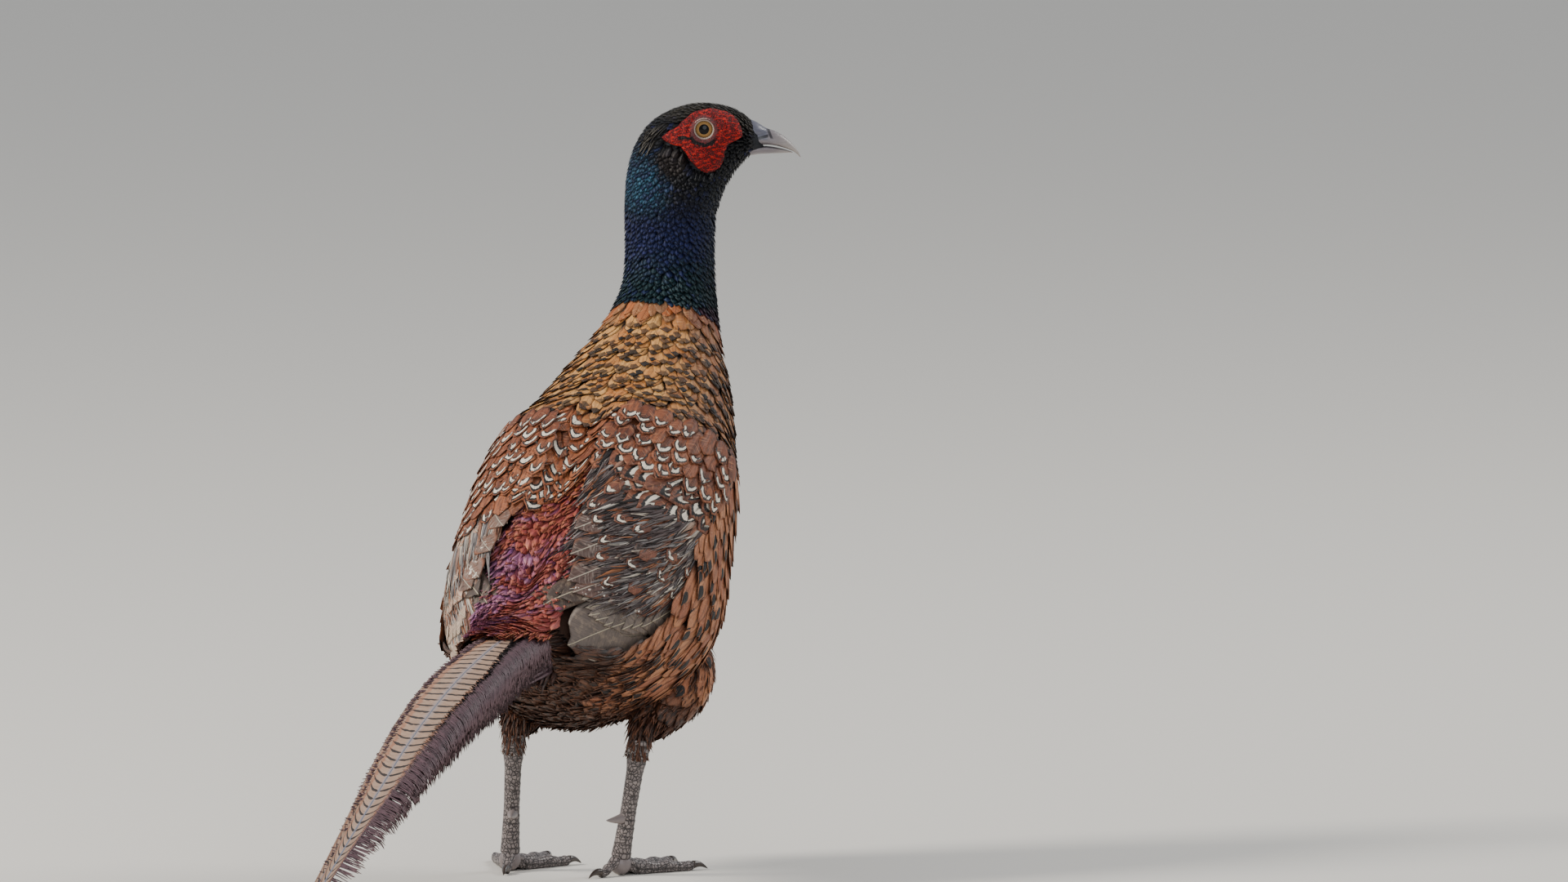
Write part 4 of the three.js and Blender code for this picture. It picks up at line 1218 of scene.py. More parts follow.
def breast_coat():
    """Breast and flanks; the flank feathers lie over the lower edge of the folded wings."""

    def keep(place, angle):
        turn = np.abs(folded_angle(angle))
        top = np.where(place < 6.2, flank_edge(place), 1.2)
        return (turn > top) & (place < mantle_foot(turn) + 0.15)

    place, angle = rows_of_roots(flank, 7.4, 0.4, 6.2, 6.6, 0.34, keep)
    n = len(place)
    turn = np.abs(folded_angle(angle))
    belly = smooth(turn, 2.2, 2.8) * smooth(place, 6.2, 4.8)
    dark = np.clip(np.maximum(belly, smooth(place - 0.5 * smooth(turn, 1.7, 2.1), 2.2, 1.0)), 0, 1)
    tract = laid(flank, place, angle, scatter(n, 20, 30), scatter(n, 7.5, 10.5), turn=stray(n, 0.12),
                 low=-1.8, high=scatter(n, 0.2, 1.1), cup=0.5, rows=8, columns=4, ragged=0.1,
                 dark=dark, plum=smooth(turn, 1.9, 2.7) * smooth(place, 4.5, 6.6))
    feathers("breast_feathers", [tract], breast_feather(), "body_plumage")


def down_coat():
    """Loose dark feathers of the vent, belly and thighs."""

    def keep(place, angle):
        edge = np.interp(place, [-0.6, 0.6, 0.9, 1.3, 2, 2.5, 2.6], [0.7, 0.9, 1.55, 1.64, 1.74, 1.8, 2.3])
        return np.abs(folded_angle(angle)) > edge

    tracts = []
    for surface, first, last in ((coat, 0.9, -0.8), (flank, 3.4, 0.9)):
        place, angle = strewn_roots(surface, first, last, 2.8, keep=keep)
        n = len(place)
        # Flat where the wings' lobes lie over them
        loose = smooth(np.abs(folded_angle(angle)), 1.42, 1.6)
        tracts.append(laid(surface, place, angle, scatter(n, 13, 21), scatter(n, 2.2, 3.8),
                           turn=stray(n, 0.22), low=-2.0, outline=slim_tip,
                           high=scatter(n, 0.1, 0.4) + loose * scatter(n, 0.3, 2.2)))
    for leg in LEGS:
        place, angle = strewn_roots(thigh_upwards(leg), 0.97, 0.14, 2.4)
        n = len(place)
        length = np.minimum(scatter(n, 9, 15), 70 * place)
        tracts.append(laid(thigh_upwards(leg), place, angle, length, scatter(n, 2.4, 3.8),
                           turn=stray(n, 0.15), low=-1.6, high=scatter(n, 0.4, 2.0), outline=slim_tip))
    down = fringe_feather("dark_down", "5a3422", "1c110d", "8a5230")
    feathers("down_feathers", tracts, down, "dark_plumage")


def thigh_coat():
    """Copper feathers that run on from the flank over the outer side of the thighs."""
    tracts = []
    for leg in LEGS:
        surface = thigh_upwards(leg)

        def keep(place, angle, leg=leg, surface=surface):
            out = surface(place, angle, 1.0) - surface(place, angle, 0.0)
            return (out[:, 0] * leg["side"] > -0.15) & (place > 0.5)

        place, angle = rows_of_roots(surface, 1.0, 0.5, 7, 7.6, 0.3, keep)
        n = len(place)
        tracts.append(laid(surface, place, angle, scatter(n, 18, 24), scatter(n, 8, 11), turn=stray(n, 0.12),
                           low=-0.6, high=scatter(n, 0.8, 1.8), cup=0.6, rows=8, columns=4,
                           dark=smooth(place, 0.85, 0.6), plum=0.0))
    feathers("thigh_feathers", tracts, breast_feather(), "body_plumage")


# Wings

# Rows of wing feathers from the tips of the quills up: the tips' places, their angles in degrees
# from the inner edge to the outer, how many, length in places, width, height over the shell at
# root and tip, and which material they wear
WING_ROWS = [
    ([0.2, 0.1, 0.15, 0.4, 0.9, 1.5, 2.1], [47, 55, 64, 73, 80, 86, 91],
     13, 2.4, 22, -6.8, -4.6, "quill"),
    ([1.1, 0.85, 0.9, 1.2, 1.75, 2.35, 3.0], [40, 49, 62, 74, 83, 89, 92],
     13, 1.7, 17, -5.2, -3.2, "quill"),
    ([2.45, 1.75, 1.4, 1.4, 1.7, 2.3, 2.95, 3.65], [20, 31, 43, 56, 69, 79, 86, 89],
     16, 1.6, 12.5, -4.0, -2.2, "covert"),
    ([2.8, 2.25, 1.9, 1.9, 2.2, 2.8, 3.4, 4.0], [17, 29, 41, 54, 67, 77, 84, 87],
     16, 1.5, 11.5, -3.4, -1.7, "covert"),
    ([3.1, 2.65, 2.35, 2.35, 2.6, 3.2, 3.8, 4.3], [16, 27, 39, 52, 65, 76, 83, 85],
     16, 1.4, 11, -2.8, -1.2, "covert"),
    ([3.4, 3.0, 2.75, 2.75, 3.0, 3.6, 4.1, 4.6], [14, 25, 37, 50, 63, 74, 81, 83],
     16, 1.3, 11, -2.3, -0.7, "covert"),
    ([3.75, 3.4, 3.15, 3.15, 3.4, 3.95, 4.4, 4.9], [13, 24, 36, 49, 61, 71, 79, 81],
     14, 1.2, 12, -1.7, 0.0, "marked"),
    ([4.1, 3.8, 3.6, 3.6, 3.9, 4.4, 4.8, 5.2], [13, 24, 36, 48, 60, 70, 78, 80],
     13, 1.15, 13, -1.2, 0.6, "marked"),
    ([4.45, 4.2, 4.05, 4.1, 4.4, 4.9], [13, 24, 36, 48, 60, 70],
     10, 1.1, 13, -0.8, 1.2, "marked"),
]
# Zones of small marked feathers: spacing, how dark (wine tint and painted shade, darker on the right wing),
# lower and upper edge, length, width, size of mark
COMMAS = {
    "right": [
        (13.5, 1, ([24, 36, 60, 80], [2.9, 2.0, 2.0, 3.0]), ([24, 36, 90], [4.4, 3.6, 3.9]), (10, 15), (5, 8),
         (0, 0.5)),
        (8.5, 0.5, ([14, 28, 50, 86], [5.0, 4.9, 5.0, 5.1]), ([28, 86], [6.2, 6.2]), (13, 18), (8, 10.5),
         (0.2, 0.8)),
    ],
    "left": [
        (8.8, 0.2, ([13, 50, 86], [3.5, 3.4, 4.0]), ([13, 86], [5.9, 6.2]), (13, 19), (7.5, 11), (0.2, 0.8)),
    ],
}
LEFT_DROP = 1.1  # how much lower the left wing's lobe hangs, in places
FLOW = math.radians(10)  # how far inwards a wing feather swings over one place
# Large feathers that lie one on another, as their tips' places and degrees and their lengths in
# places: those along the inner edge, and the broad ones of the lobe, the last one on top
TERTIALS = [(1.1, 33, 1.9), (1.3, 27, 1.9), (1.95, 22, 1.7), (2.6, 18, 1.5)]
LOBE = [(1.15, 66, 2.6), (0.6, 62, 2.6), (0.15, 57, 2.6), (-0.2, 51, 2.6)]
# The primaries' tips and roots, as places and degrees
PRIMARY_TIPS = ([0.1, 0.25, 0.5, 0.8], [9, 13, 19, 26])
PRIMARY_ROOTS = ([1.9, 2.1, 2.3, 2.5], [46, 52, 58, 64])


def wing_row(side, row, drop, **marks):
    """A row of wing feathers side by side; drop is how much further its middle reaches down."""
    tip_places, tip_degrees, count, span, width, low, high, kind = row
    tip_places = tip_places - drop * np.exp(-(((np.array(tip_degrees) - 52) / 28) ** 2))
    at = np.linspace(0, len(tip_places) - 1, count) + stray(count, 0.05)
    even = 0.2 if kind == "quill" else 1.0
    known = np.arange(len(tip_places))
    place = np.interp(at, known, tip_places) + even * stray(count, 0.05)
    angle = np.radians(np.interp(at, known, tip_degrees))
    swing = FLOW * span * (0.7 + 1.2 * smooth(angle, 1.4, 0.7))
    root = (place + span, angle + swing + stray(count, 0.03))
    line = straight(root, (place, angle), 16)
    return vanes(shell(side), line, width * (1 + stray(count, 0.05)), low=low, power=0.8, roll=-0.3,
                 high=high + even * stray(count, 0.15), bow=1.2 + even * stray(count, 0.5), columns=6,
                 outline=round_tip if kind == "quill" else quill_tip, ragged=0.05 * even, **marks)


def wing_height(place, angle):
    """How high the wing's feathers stand over its shell: the heights of the rows' tips, run together."""
    tips = np.stack([np.interp(np.degrees(angle), row[1], row[0]) for row in WING_ROWS], 1)
    heights = [row[-2] for row in WING_ROWS]
    return np.array([np.interp(at, row, heights) for at, row in zip(place, tips)])


def over_wing(side, place, angle, length, width, turn, lift, rows, **settings):
    """Small feathers that lie on the wing's rows."""
    line = flowing(shell(side), place, angle, length, turn, rows)
    low, high = (wing_height(line[0][:, end], line[1][:, end]) for end in (0, -1))
    return vanes(shell(side), line, width, low=low - 0.4, high=high + lift, power=1.0, **settings)


def inward(angle):
    """How far a wing's barbs turn in from straight down: nearly along it outside, right across it inside."""
    return -np.interp(np.degrees(angle), [15, 35, 50, 70, 90], [0.15, 0.7, 0.75, 0.42, 0.12])


def wing_streaks(side, lit_paleness):
    """Narrow streaks of loose barbs that break up the rows of coverts."""
    right = side > 0
    crown = [4.9, 4.6, 3.75, 3.95, 4.1, 4.6] if right else [3.6, 3.5, 3.3, 3.1, 3.2, 3.6]

    def keep(place, angle):
        degrees = np.degrees(angle)
        foot = np.interp(degrees, [15, 26, 36, 49, 62, 74, 84, 90], [3.2, 2.6, 2.1, 1.75, 1.8, 2.1, 2.7, 3.3])
        top = np.interp(degrees, [15, 26, 33, 49, 64, 90], crown)
        inner = np.interp(place, [0.6, 1.75, 2.6, 3.8, 4.6], [42, 32, 25, 19, 16]) + (0 if right else 3)
        within = (degrees > inner) & (angle < flank_edge(place) + 0.02)
        return (place > foot - 2 * lit_paleness) & within & (place < top)

    place, angle = strewn_roots(shell(side), 5.1, 0.3, 2.3 if right else 2.6, (0.2, 1.66), keep)
    n = len(place)
    degrees = np.degrees(angle)
    # Dark, white and rusty along the inner edge; slate in the middle; grey and silver outside
    # On the left wing lit_paleness, painted light, lifts the tones and the share of rusty streaks
    tone = np.interp(degrees, [15, 35, 55, 75, 90], [0.36, 0.32, 0.38, 0.56, 0.6]) + 0.5 * lit_paleness
    tone = tone + np.interp(degrees, [15, 35, 55, 90], [0.32, 0.26, 0.2, 0.28]) * rng.normal(size=n)
    rusty = np.interp(degrees, [15, 30, 55, 90], [0.36, 0.14, 0.08, 0.2]) + 0.4 * lit_paleness
    rust = (rng.random(n) < rusty) * scatter(n, 0.5, 1)
    turn = (1 if right else 0.2) * inward(angle) + stray(n, 0.1)
    length = scatter(n, 12, 24) if right else scatter(n, 20, 34)
    width = scatter(n, 1.6, 2.9) if right else scatter(n, 2.4, 4.6)
    return over_wing(side, place, angle, length, width, turn, scatter(n, 0.2, 0.8 if right else 0.5), 6,
                     cup=0.15, outline=slim_tip, thick=0.18, bow=stray(n, 0.7),
                     tone=np.clip(tone, 0.75 * lit_paleness, 1), rust=rust)


def wing_commas(side, spacing, wine, low, high, length, width, size):
    """Small feathers with a white comma at the tip; low and high are degrees and places of their edges."""

    def keep(place, angle):
        degrees = np.degrees(angle)
        above = (place > np.interp(degrees, *low)) & (degrees > low[0][0])
        return above & (place < np.interp(degrees, *high))

    place, angle = strewn_roots(shell(side), 6.3, 1.9, spacing, (0.2, 1.5), keep)
    n = len(place)
    turn = 0.8 * inward(angle) * (1 if wine == 1 else 0.3)
    return over_wing(side, place, angle, scatter(n, *length), scatter(n, *width), turn,
                     scatter(n, 0.7, 1.1), 8, columns=6, cup=0.3, ragged=0.12,
                     white=scatter(n, 0.6, 1) * (rng.random(n) < 0.86), size=scatter(n, *size), wine=wine)


def stacked(side, tips, width, drop, swing, rise, low, high, rows, **settings):
    """Large feathers that lie one on another, each by rise higher than the one before."""
    made = []
    for i, (place, degrees, span) in enumerate(tips):
        tip = (np.array([place - drop]), np.radians([degrees]))
        root = (tip[0] + span, tip[1] + swing * FLOW * span)
        made.append(vanes(shell(side), straight(root, tip, rows), width, low=low + rise * i,
                          high=high + rise * i, power=0.8, **settings))
    return made


def wing(side, word, lit_paleness, quill, covert, chestnut, streak):
    """A folded wing; lit_paleness is how much paler it is painted where the light falls on it: painted light.
    """
    fall = LEFT_DROP if word == "left" else 0
    tracts = {"quill": [], "covert": [], "marked": []}
    for i, row in enumerate(WING_ROWS):
        count, kind = row[2], row[-1]
        if kind == "quill":
            marks = {"pale": scatter(count, 0, 0.3) + lit_paleness}
        elif kind == "covert":
            marks = {"pale": np.clip(scatter(count, 0, 0.5) + lit_paleness, 0, 1)}
        else:
            # The right wing's marked feathers are darkened to wine-brown as painted shade
            white = scatter(count, 0.4, 1) * (rng.random(count) < 0.85)
            marks = {"white": white, "size": scatter(count, 0.4, 1), "wine": 0.9 if word == "right" else 0.2}
        tracts[kind].append(wing_row(side, row, max(fall * (1 - 0.27 * i), 0), **marks))
    tracts["covert"] += stacked(side, TERTIALS, 17, 0, 1.4, 0.5, -3.6, -1.6, 22, cup=0.8, bow=2.0, columns=8,
                                outline=quill_tip, ragged=0.02, pale=0.1 + lit_paleness / 2)
    tracts["quill"] += stacked(side, LOBE, 34, fall, 1.2, 0.3, -5.6, -4.4, 30, cup=0.9, bow=1.0, columns=12,
                               ragged=0.006, pale=1.4 * lit_paleness - 0.13)
    # The primaries' tips come out under the quills, over the side of the rump
    root, tip = ((places, np.radians(degrees)) for places, degrees in (PRIMARY_ROOTS, PRIMARY_TIPS))
    tracts["quill"].append(vanes(shell(side), straight(root, tip, 16), [17, 16, 15, 14], low=-6.5,
                                 high=[-3.2, -2.6, -2.0, -1.4], columns=6, bow=-1.5, outline=quill_tip,
                                 ragged=0.02, pale=-0.4))
    tracts["marked"] += [wing_commas(side, *zone) for zone in COMMAS[word]]
    feathers(f"quills_{word}", tracts["quill"], quill, "wing_plumage", replaces=[f"wing_{word}"])
    feathers(f"coverts_{word}", tracts["covert"], covert, "wing_plumage")
    feathers(f"scapulars_{word}", tracts["marked"], chestnut, "wing_plumage")
    feathers(f"streaks_{word}", [wing_streaks(side, lit_paleness)], streak, "wing_plumage")


def wings():
    paints = (quill_feather(), covert_feather(), chestnut_feather(), streak_feather())
    wing(1, "right", 0.0, *paints)
    # The left wing, on the side the light comes from, is painted pale: painted light
    wing(-1, "left", 0.75, *paints)


# Tail

TAIL_SHARES = [1, 0.83, 0.68, 0.57, 0.48, 0.41, 0.35, 0.3, 0.26]  # the feathers' lengths, pair by pair
ROOF = 0.01  # how fast the tail's roof falls off to the sides, per millimetre
DRAPE_START = 11.5  # distance from the ridge where the loose barbs start to hang
DRAPE_REACH = 9.0  # how far out they go before they hang straight down
# Layers of loose barbs: how many on the right, how many on the left, share of the tail they cover
FRINGE_LAYERS = [(1200, 500, 0.92), (950, 300, 0.8), (750, 200, 0.66), (600, 150, 0.5)]
FRINGE_LENGTH = {"right": 34, "left": 3.5}


def tail_frame(length):
    """The ridge line at lengths along the tail: points, and the directions up and to the right."""
    length = np.asarray(length, float)
    fine = np.linspace(0, 520, 521)
    slope = np.radians(np.interp(fine, *np.array(TAIL_SLOPES, float).T))
    back = np.concatenate([[0], np.cumsum(np.cos(slope[:-1]))])
    down = np.concatenate([[0], np.cumsum(np.sin(slope[:-1]))])
    back_at = np.where(length < 0, length, np.interp(length, fine, back))
    down_at = np.interp(length, fine, down)
    tilt = np.interp(length, fine, slope)
    s, c = math.sin(TAIL_YAW), math.cos(TAIL_YAW)
    ridge = TAIL_ROOT + np.stack([back_at * s, -back_at * c, -down_at], -1)
    up = np.stack([np.sin(tilt) * s, -np.sin(tilt) * c, np.cos(tilt)], -1)
    return ridge, up, np.broadcast_to([c, s, 0.0], up.shape)


def tail_surface(length, across, grow=0.0):
    """A point of the tail's roof. Its places run backwards, so that vanes point along the tail."""
    length, across, grow = spread(length, across, grow)
    ridge, up, right = tail_frame(-length)
    return ridge + right * across[..., None] + up * (grow - ROOF * across**2)[..., None]


def tail_drape(length, across, grow=0.0):
    """The roof with its sides hanging down, for the loose barbs."""
    length, across, grow = spread(length, across, grow)
    ridge, up, right = tail_frame(-length)
    far = np.abs(across)
    over = np.maximum(far - DRAPE_START, 0)
    bend = np.minimum(over / DRAPE_REACH, math.pi / 2)
    out = np.sign(across) * (np.minimum(far, DRAPE_START) + (DRAPE_REACH + grow) * np.sin(bend))
    fall = ROOF * np.minimum(far, DRAPE_START) ** 2 + DRAPE_REACH * (1 - np.cos(bend))
    fall = fall + np.maximum(over - DRAPE_REACH * math.pi / 2, 0)
    return ridge + right * out[..., None] + up * (grow * np.cos(bend) - fall)[..., None]


def tail():
    quills = []
    for pair, share in enumerate(TAIL_SHARES):
        for second, (side, _) in enumerate(SIDES):
            depth = 2 + 0.95 * (2 * pair + second)
            root = (np.array([-3.0]), np.array([side * (1.5 + 1.1 * pair)]))
            tip = (root[0] - TAIL_LENGTH * share, root[1] + side * 0.5 * pair)
            quills.append(vanes(tail_surface, straight(root, tip, 70), 29 - 1.5 * pair, low=-depth - 1,
                                high=-depth + 0.3, cup=0.25, power=0.2, columns=12, outline=slim_tip,
                                thick=0.45, ragged=0.01, outer=min(0.12 * pair, 0.8)))
    feathers("tail_quills", quills, tail_feather(), "tail_plumage", replaces=["tail"])
    # Loose barbs that fray from both edges of the feathers and hang
    fringe = fringe_feather("tail_fringe", "6e5058", "3a282e", "8a6c6c")
    for side, word in SIDES:
        strands = []
        for layer, (right, left, covered) in enumerate(FRINGE_LAYERS):
            n = right if word == "right" else left
            at = rng.beta(0.9, 1.5, n) * TAIL_LENGTH * covered - 4
            half = (13.5 - 0.4 * layer) * slim_tip(np.maximum(at, 40) / TAIL_LENGTH)
            out = side * (half + 0.8 * layer - scatter(n, 0.5, 3.5))
            length = FRINGE_LENGTH[word] * scatter(n, 0.8, 1) * (1 - 0.6 * np.maximum(at, 0) / TAIL_LENGTH)
            turn = side * scatter(n, 0.75, 1.2)
            strands.append(laid(tail_drape, -at, out, length + 1.5 * layer, scatter(n, 0.9, 1.5), turn=turn,
                                low=-1.9 - 1.5 * layer, high=-1.2 - 1.5 * layer, rows=6, outline=strand,
                                thick=0.18))
        feathers(f"tail_fringe_{word}", strands, fringe, "tail_plumage")


def tail_coverts():
    """Hair-like coverts over the root of the tail and soft ones under it."""
    n = 420
    at, out = scatter(n, -10, 26), scatter(n, -16, 16)
    over = laid(tail_surface, -at, out, scatter(n, 24, 46) - 0.5 * np.abs(out), 3.0, turn=0.01 * out,
                low=-1.0, high=scatter(n, -0.4, 1.4) - 0.02 * np.abs(out), rows=7, outline=slim_tip,
                zone=0.5, violet=0.2)
    feathers("rump_coverts", [over], rump_feather(), "tail_plumage")
    n = 300
    at, out = scatter(n, -6, 30), scatter(n, -16, 16)
    under = laid(tail_surface, -at, out, scatter(n, 26, 44), 3.8, turn=0.012 * out, low=-18.0,
                 high=-scatter(n, 17.5, 21.5), rows=7, outline=slim_tip)
    down = fringe_feather("vent_down", "4a2a22", "1c1010", "6a3c2a")
    feathers("vent_coverts", [under], down, "tail_plumage")


# Face

WATTLE_AROUND = 128
WATTLE_RINGS = 26
EYE_RINGS = 40
EYE_AROUND = 64
BEHIND = 9  # the radius given to the hidden half of the eye, past the iris
LID_AROUND = 96
LID_SECTION = 12
BILL_RINGS = 60
BILL_AROUND = 40


def head_side(forward, above):
    """How far the head's side is from its middle, forward of and above the eye."""
    forward, above = spread(forward, above)
    aim = np.stack([forward.ravel(), above.ravel()], -1)

    def flat(place, angle):
        return section(HEAD, place, angle)[0]

    places, angles = np.meshgrid(np.linspace(1, 10, 73), np.radians(np.linspace(6, 174, 85)), indexing="ij")
    places, angles = places.ravel(), angles.ravel()
    nearest = ((flat(places, angles)[None] - aim[:, None]) ** 2).sum(-1).argmin(1)
    place, angle = places[nearest], angles[nearest]
    # Newton's steps towards the place and angle that lie at the aim
    for _ in range(6):
        here = flat(place, angle)
        by_place = (flat(place + 1e-3, angle) - here) / 1e-3
        by_angle = (flat(place, angle + 1e-3) - here) / 1e-3
        miss = aim - here
        size = by_place[:, 0] * by_angle[:, 1] - by_place[:, 1] * by_angle[:, 0]
        size = np.where(np.abs(size) < 1e-6, 1e-6, size)
        place_step = (miss[:, 0] * by_angle[:, 1] - miss[:, 1] * by_angle[:, 0]) / size
        angle_step = (by_place[:, 0] * miss[:, 1] - by_place[:, 1] * miss[:, 0]) / size
        place = np.clip(place + np.clip(place_step, -0.3, 0.3), 0.5, 10)
        angle = np.clip(angle + np.clip(angle_step, -0.2, 0.2), 0.05, math.pi - 0.05)
    return section(HEAD, place, angle)[1].reshape(forward.shape)


def wattles():
    paint = wattle_paint()
    turn = circle(WATTLE_AROUND)
    share = np.linspace(0, 1, WATTLE_RINGS)[:, None]
    far = LID_RADIUS + (rim_reach(folded_angle(turn)) - LID_RADIUS) * share
    forward, above = far * np.cos(turn), far * np.sin(turn)
    level = head_side(np.minimum(forward, 19.5), above)
    level = mix(head_side(0.0, 0.0), level, np.minimum(share / 0.16, 1))
    swell = 1.5 * np.sqrt(np.clip(1 - share**6, 0, 1)) + 0.35
    ripple = np.sin(forward * 3.1 + 1.3 * np.sin(above * 2.2))
    lumps = 0.16 * ripple * np.sin(above * 3.4 + np.cos(forward * 2.0))
    folds = 0.22 * np.sin(1.6 * far + 0.8 * np.sin(3 * turn)) * smooth(share, 0.05, 0.3)
    top = level + 0.6 + swell + (lumps + folds) * (1 - share**8)
    # Rings go out over the top and come back in underneath
    forward, above = np.concatenate([forward, forward[::-1]]), np.concatenate([above, above[::-1]])
    out = np.concatenate([top, level[::-1] + 0.2])
    face = np.stack([forward.ravel(), above.ravel()], -1)
    for side, word in SIDES:
        points, faces = hoop(head_place(forward, side * out, above))
        solid(f"wattle_skin_{word}", points, faces, paint, "face_skin", [f"wattle_{word}"], {"Face": face})


def eyes():
    ball_paint = eye_paint()
    rim_paint = grained_paint("eyelid", 0.5, "b8a698", "857268", 2500.0, 0.0002)
    tilt = np.linspace(0.02, math.pi - 0.02, EYE_RINGS)[:, None]
    turn = circle(EYE_AROUND)
    level = float(head_side(0.0, 0.0))
    radius = EYE_RADIUS * np.sin(tilt)
    out = level - EYE_SINK + EYE_RADIUS * np.cos(tilt)
    measure = loft_measures(np.where(np.cos(tilt) > 0, radius, BEHIND), turn, [(0, 0), (BEHIND, 0)])
    # The lid is a soft ring with fine wrinkles where the bare skin meets the eye
    round_lid, along_lid = circle(LID_SECTION), circle(LID_AROUND)[:, None]
    wrinkle = 0.05 * np.sin(24 * along_lid)
    far = LID_RADIUS + (0.75 + wrinkle) * np.cos(round_lid) + 0.05
    high = level + 1.0 + (0.7 + wrinkle) * np.sin(round_lid)
    for side, word in SIDES:
        points, faces = loft(head_place(radius * np.cos(turn), side * out, radius * np.sin(turn)))
        solid(f"eyeball_{word}", points, faces, ball_paint, "eye", [f"eye_{word}"], {"Face": measure})
        lid = head_place(far * np.cos(along_lid), side * high, far * 0.97 * np.sin(along_lid))
        solid(f"eyelid_{word}", *hoop(lid), rim_paint, "face_skin")


def bill():
    paint = bill_paint()
    for half, table in (("upper", UPPER_BILL), ("lower", LOWER_BILL)):
        upper = half == "upper"
        angle = circle(BILL_AROUND)
        plane, side = section(table, np.linspace(0, len(table) - 1, BILL_RINGS)[:, None], angle)
        forward, above = plane[..., 0], plane[..., 1]
        if upper:
            # The nostril's horny flap swells over a slit
            swell = np.exp(-(((forward - 24.5) / 4) ** 2) - ((above + 0.8) / 2.6) ** 2)
            level = above + 3.3 - 0.3 * (forward - 26.5)
            slit = np.exp(-(((forward - 26.5) / 2.6) ** 2) - (level / 0.7) ** 2)
            side = side + np.sign(side) * (1.1 * swell - 1.1 * slit)
        points, faces = loft(head_place(forward, side, above))
        measure = loft_measures(forward, above, plane[[0, -1]].mean(1))
        seam = np.append(spread(np.cos(angle) * (-1 if upper else 1), forward)[0], [0, 0])
        vectors, numbers = {"Face": measure}, {"seam": seam}
        solid(f"beak_{half}", points, faces, paint, "bill", [f"bill_{half}"], vectors, numbers)


# Legs

SHANK_PLATES = 15
SHANK_RADII = ([0, 0.1, 0.28, 0.6, 0.86, 0.97], [5.4, 5.5, 4.0, 3.75, 4.3, 4.7])
SHANK_MEASURE = 60  # the length on the scales' map
SPUR_LENGTH = 11.5
SPUR_RADIUS = 2.5
TOE_PLATE = 3.2  # length of a plate on the toes
HEEL_RADIUS = 5.2
SHANK_RINGS = 120
SHANK_AROUND = 28
TOE_RINGS = 44
TOE_AROUND = 20
CLAW_RINGS = 18
SPUR_RINGS = 14
CONE_AROUND = 14
HEEL_RINGS = 20
HEEL_AROUND = 28


def tube(line, across, up, radii, squash=1.0):
    """Rings of points round a line, with radii as rings x around."""
    angle = circle(radii.shape[1])[:, None]
    return line[:, None] + radii[..., None] * (np.cos(angle) * across + squash * np.sin(angle) * up)


def cone(line, across, up, radii):
    return loft(tube(line, across, up, np.outer(radii, np.ones(CONE_AROUND))))


def plates(position, height):
    """Heights of overlapping plates at positions counted in plates, each sloping off towards the next."""
    return height * (1 - position % 1) ** 1.5


def shank(leg, scales):
    """The bare shank with its plates in front and its spur."""
    word, side = leg["name"], leg["side"]
    hock, ankle = np.array(leg["hock"], float), np.array(leg["ankle"], float)
    share = np.linspace(0, 0.97, SHANK_RINGS)
    angle = circle(SHANK_AROUND)
    way = unit(ankle - hock)
    across = unit(np.cross(way, [0.0, 1.0, 0.0]))
    front = np.cross(across, way)
    front *= np.sign(front[1])
    facing = smooth(np.sin(angle), -0.2, 0.5)
    raised = np.outer(plates(share * SHANK_PLATES, 0.28) - 0.05, facing)
    radii = np.interp(share, *SHANK_RADII)[:, None] + raised
    shaft = loft(tube(mix(hock, ankle, share[:, None]), across, front, radii, 0.95))
    ends = [(0, 0), (0, SHANK_MEASURE)]
    measure = loft_measures(np.degrees(angle) * 0.075, share[:, None] * SHANK_MEASURE, ends)
    # The spur, a blunt cone on the inner rear side
    spur_way = unit(np.array([-side * 0.33, -0.92, -0.12]))
    spur_across = unit(np.cross(spur_way, UP))
    s = np.linspace(0, 1, SPUR_RINGS)
    spur_root = mix(hock, ankle, 0.66) + np.array([-side * 1.4, -2.0, 0.0])
    spur_line = spur_root + spur_way * (SPUR_LENGTH * s)[:, None] + np.outer(1.2 * s**2, UP)
    spur = cone(spur_line, spur_across, np.cross(spur_across, spur_way), SPUR_RADIUS * (1 - s) ** 0.8 + 0.15)
    measure = np.concatenate([measure, np.full((len(spur[0]), 2), (3, 30))])
    solid(f"tarsus_{word}", *joined([shaft, spur]), scales, "leg_skin", [f"shank_{word}"], {"Leg": measure})


def toe_line(leg, toe, share):
    """A toe's middle line on the floor, its direction and its radii."""
    name, degrees, length = toe
    angle = math.radians(leg["heading"] + leg["side"] * degrees)
    way = np.array([-math.sin(angle), math.cos(angle), 0.0])
    start, settled, slim = (8.0, 0.95, 0.8) if name == "hind" else (6.5, 0.3, 1)
    radius = TOE_RADIUS * (1.08 - 0.42 * share) * (1 + 0.08 * np.cos(share * math.pi * 6)) * slim
    line = np.array([*leg["ankle"][:2], 0.0]) + way * (length * share)[:, None]
    line[:, 2] = mix(start, SOLE * radius, smooth(share, 0, settled))
    return line, way, radius


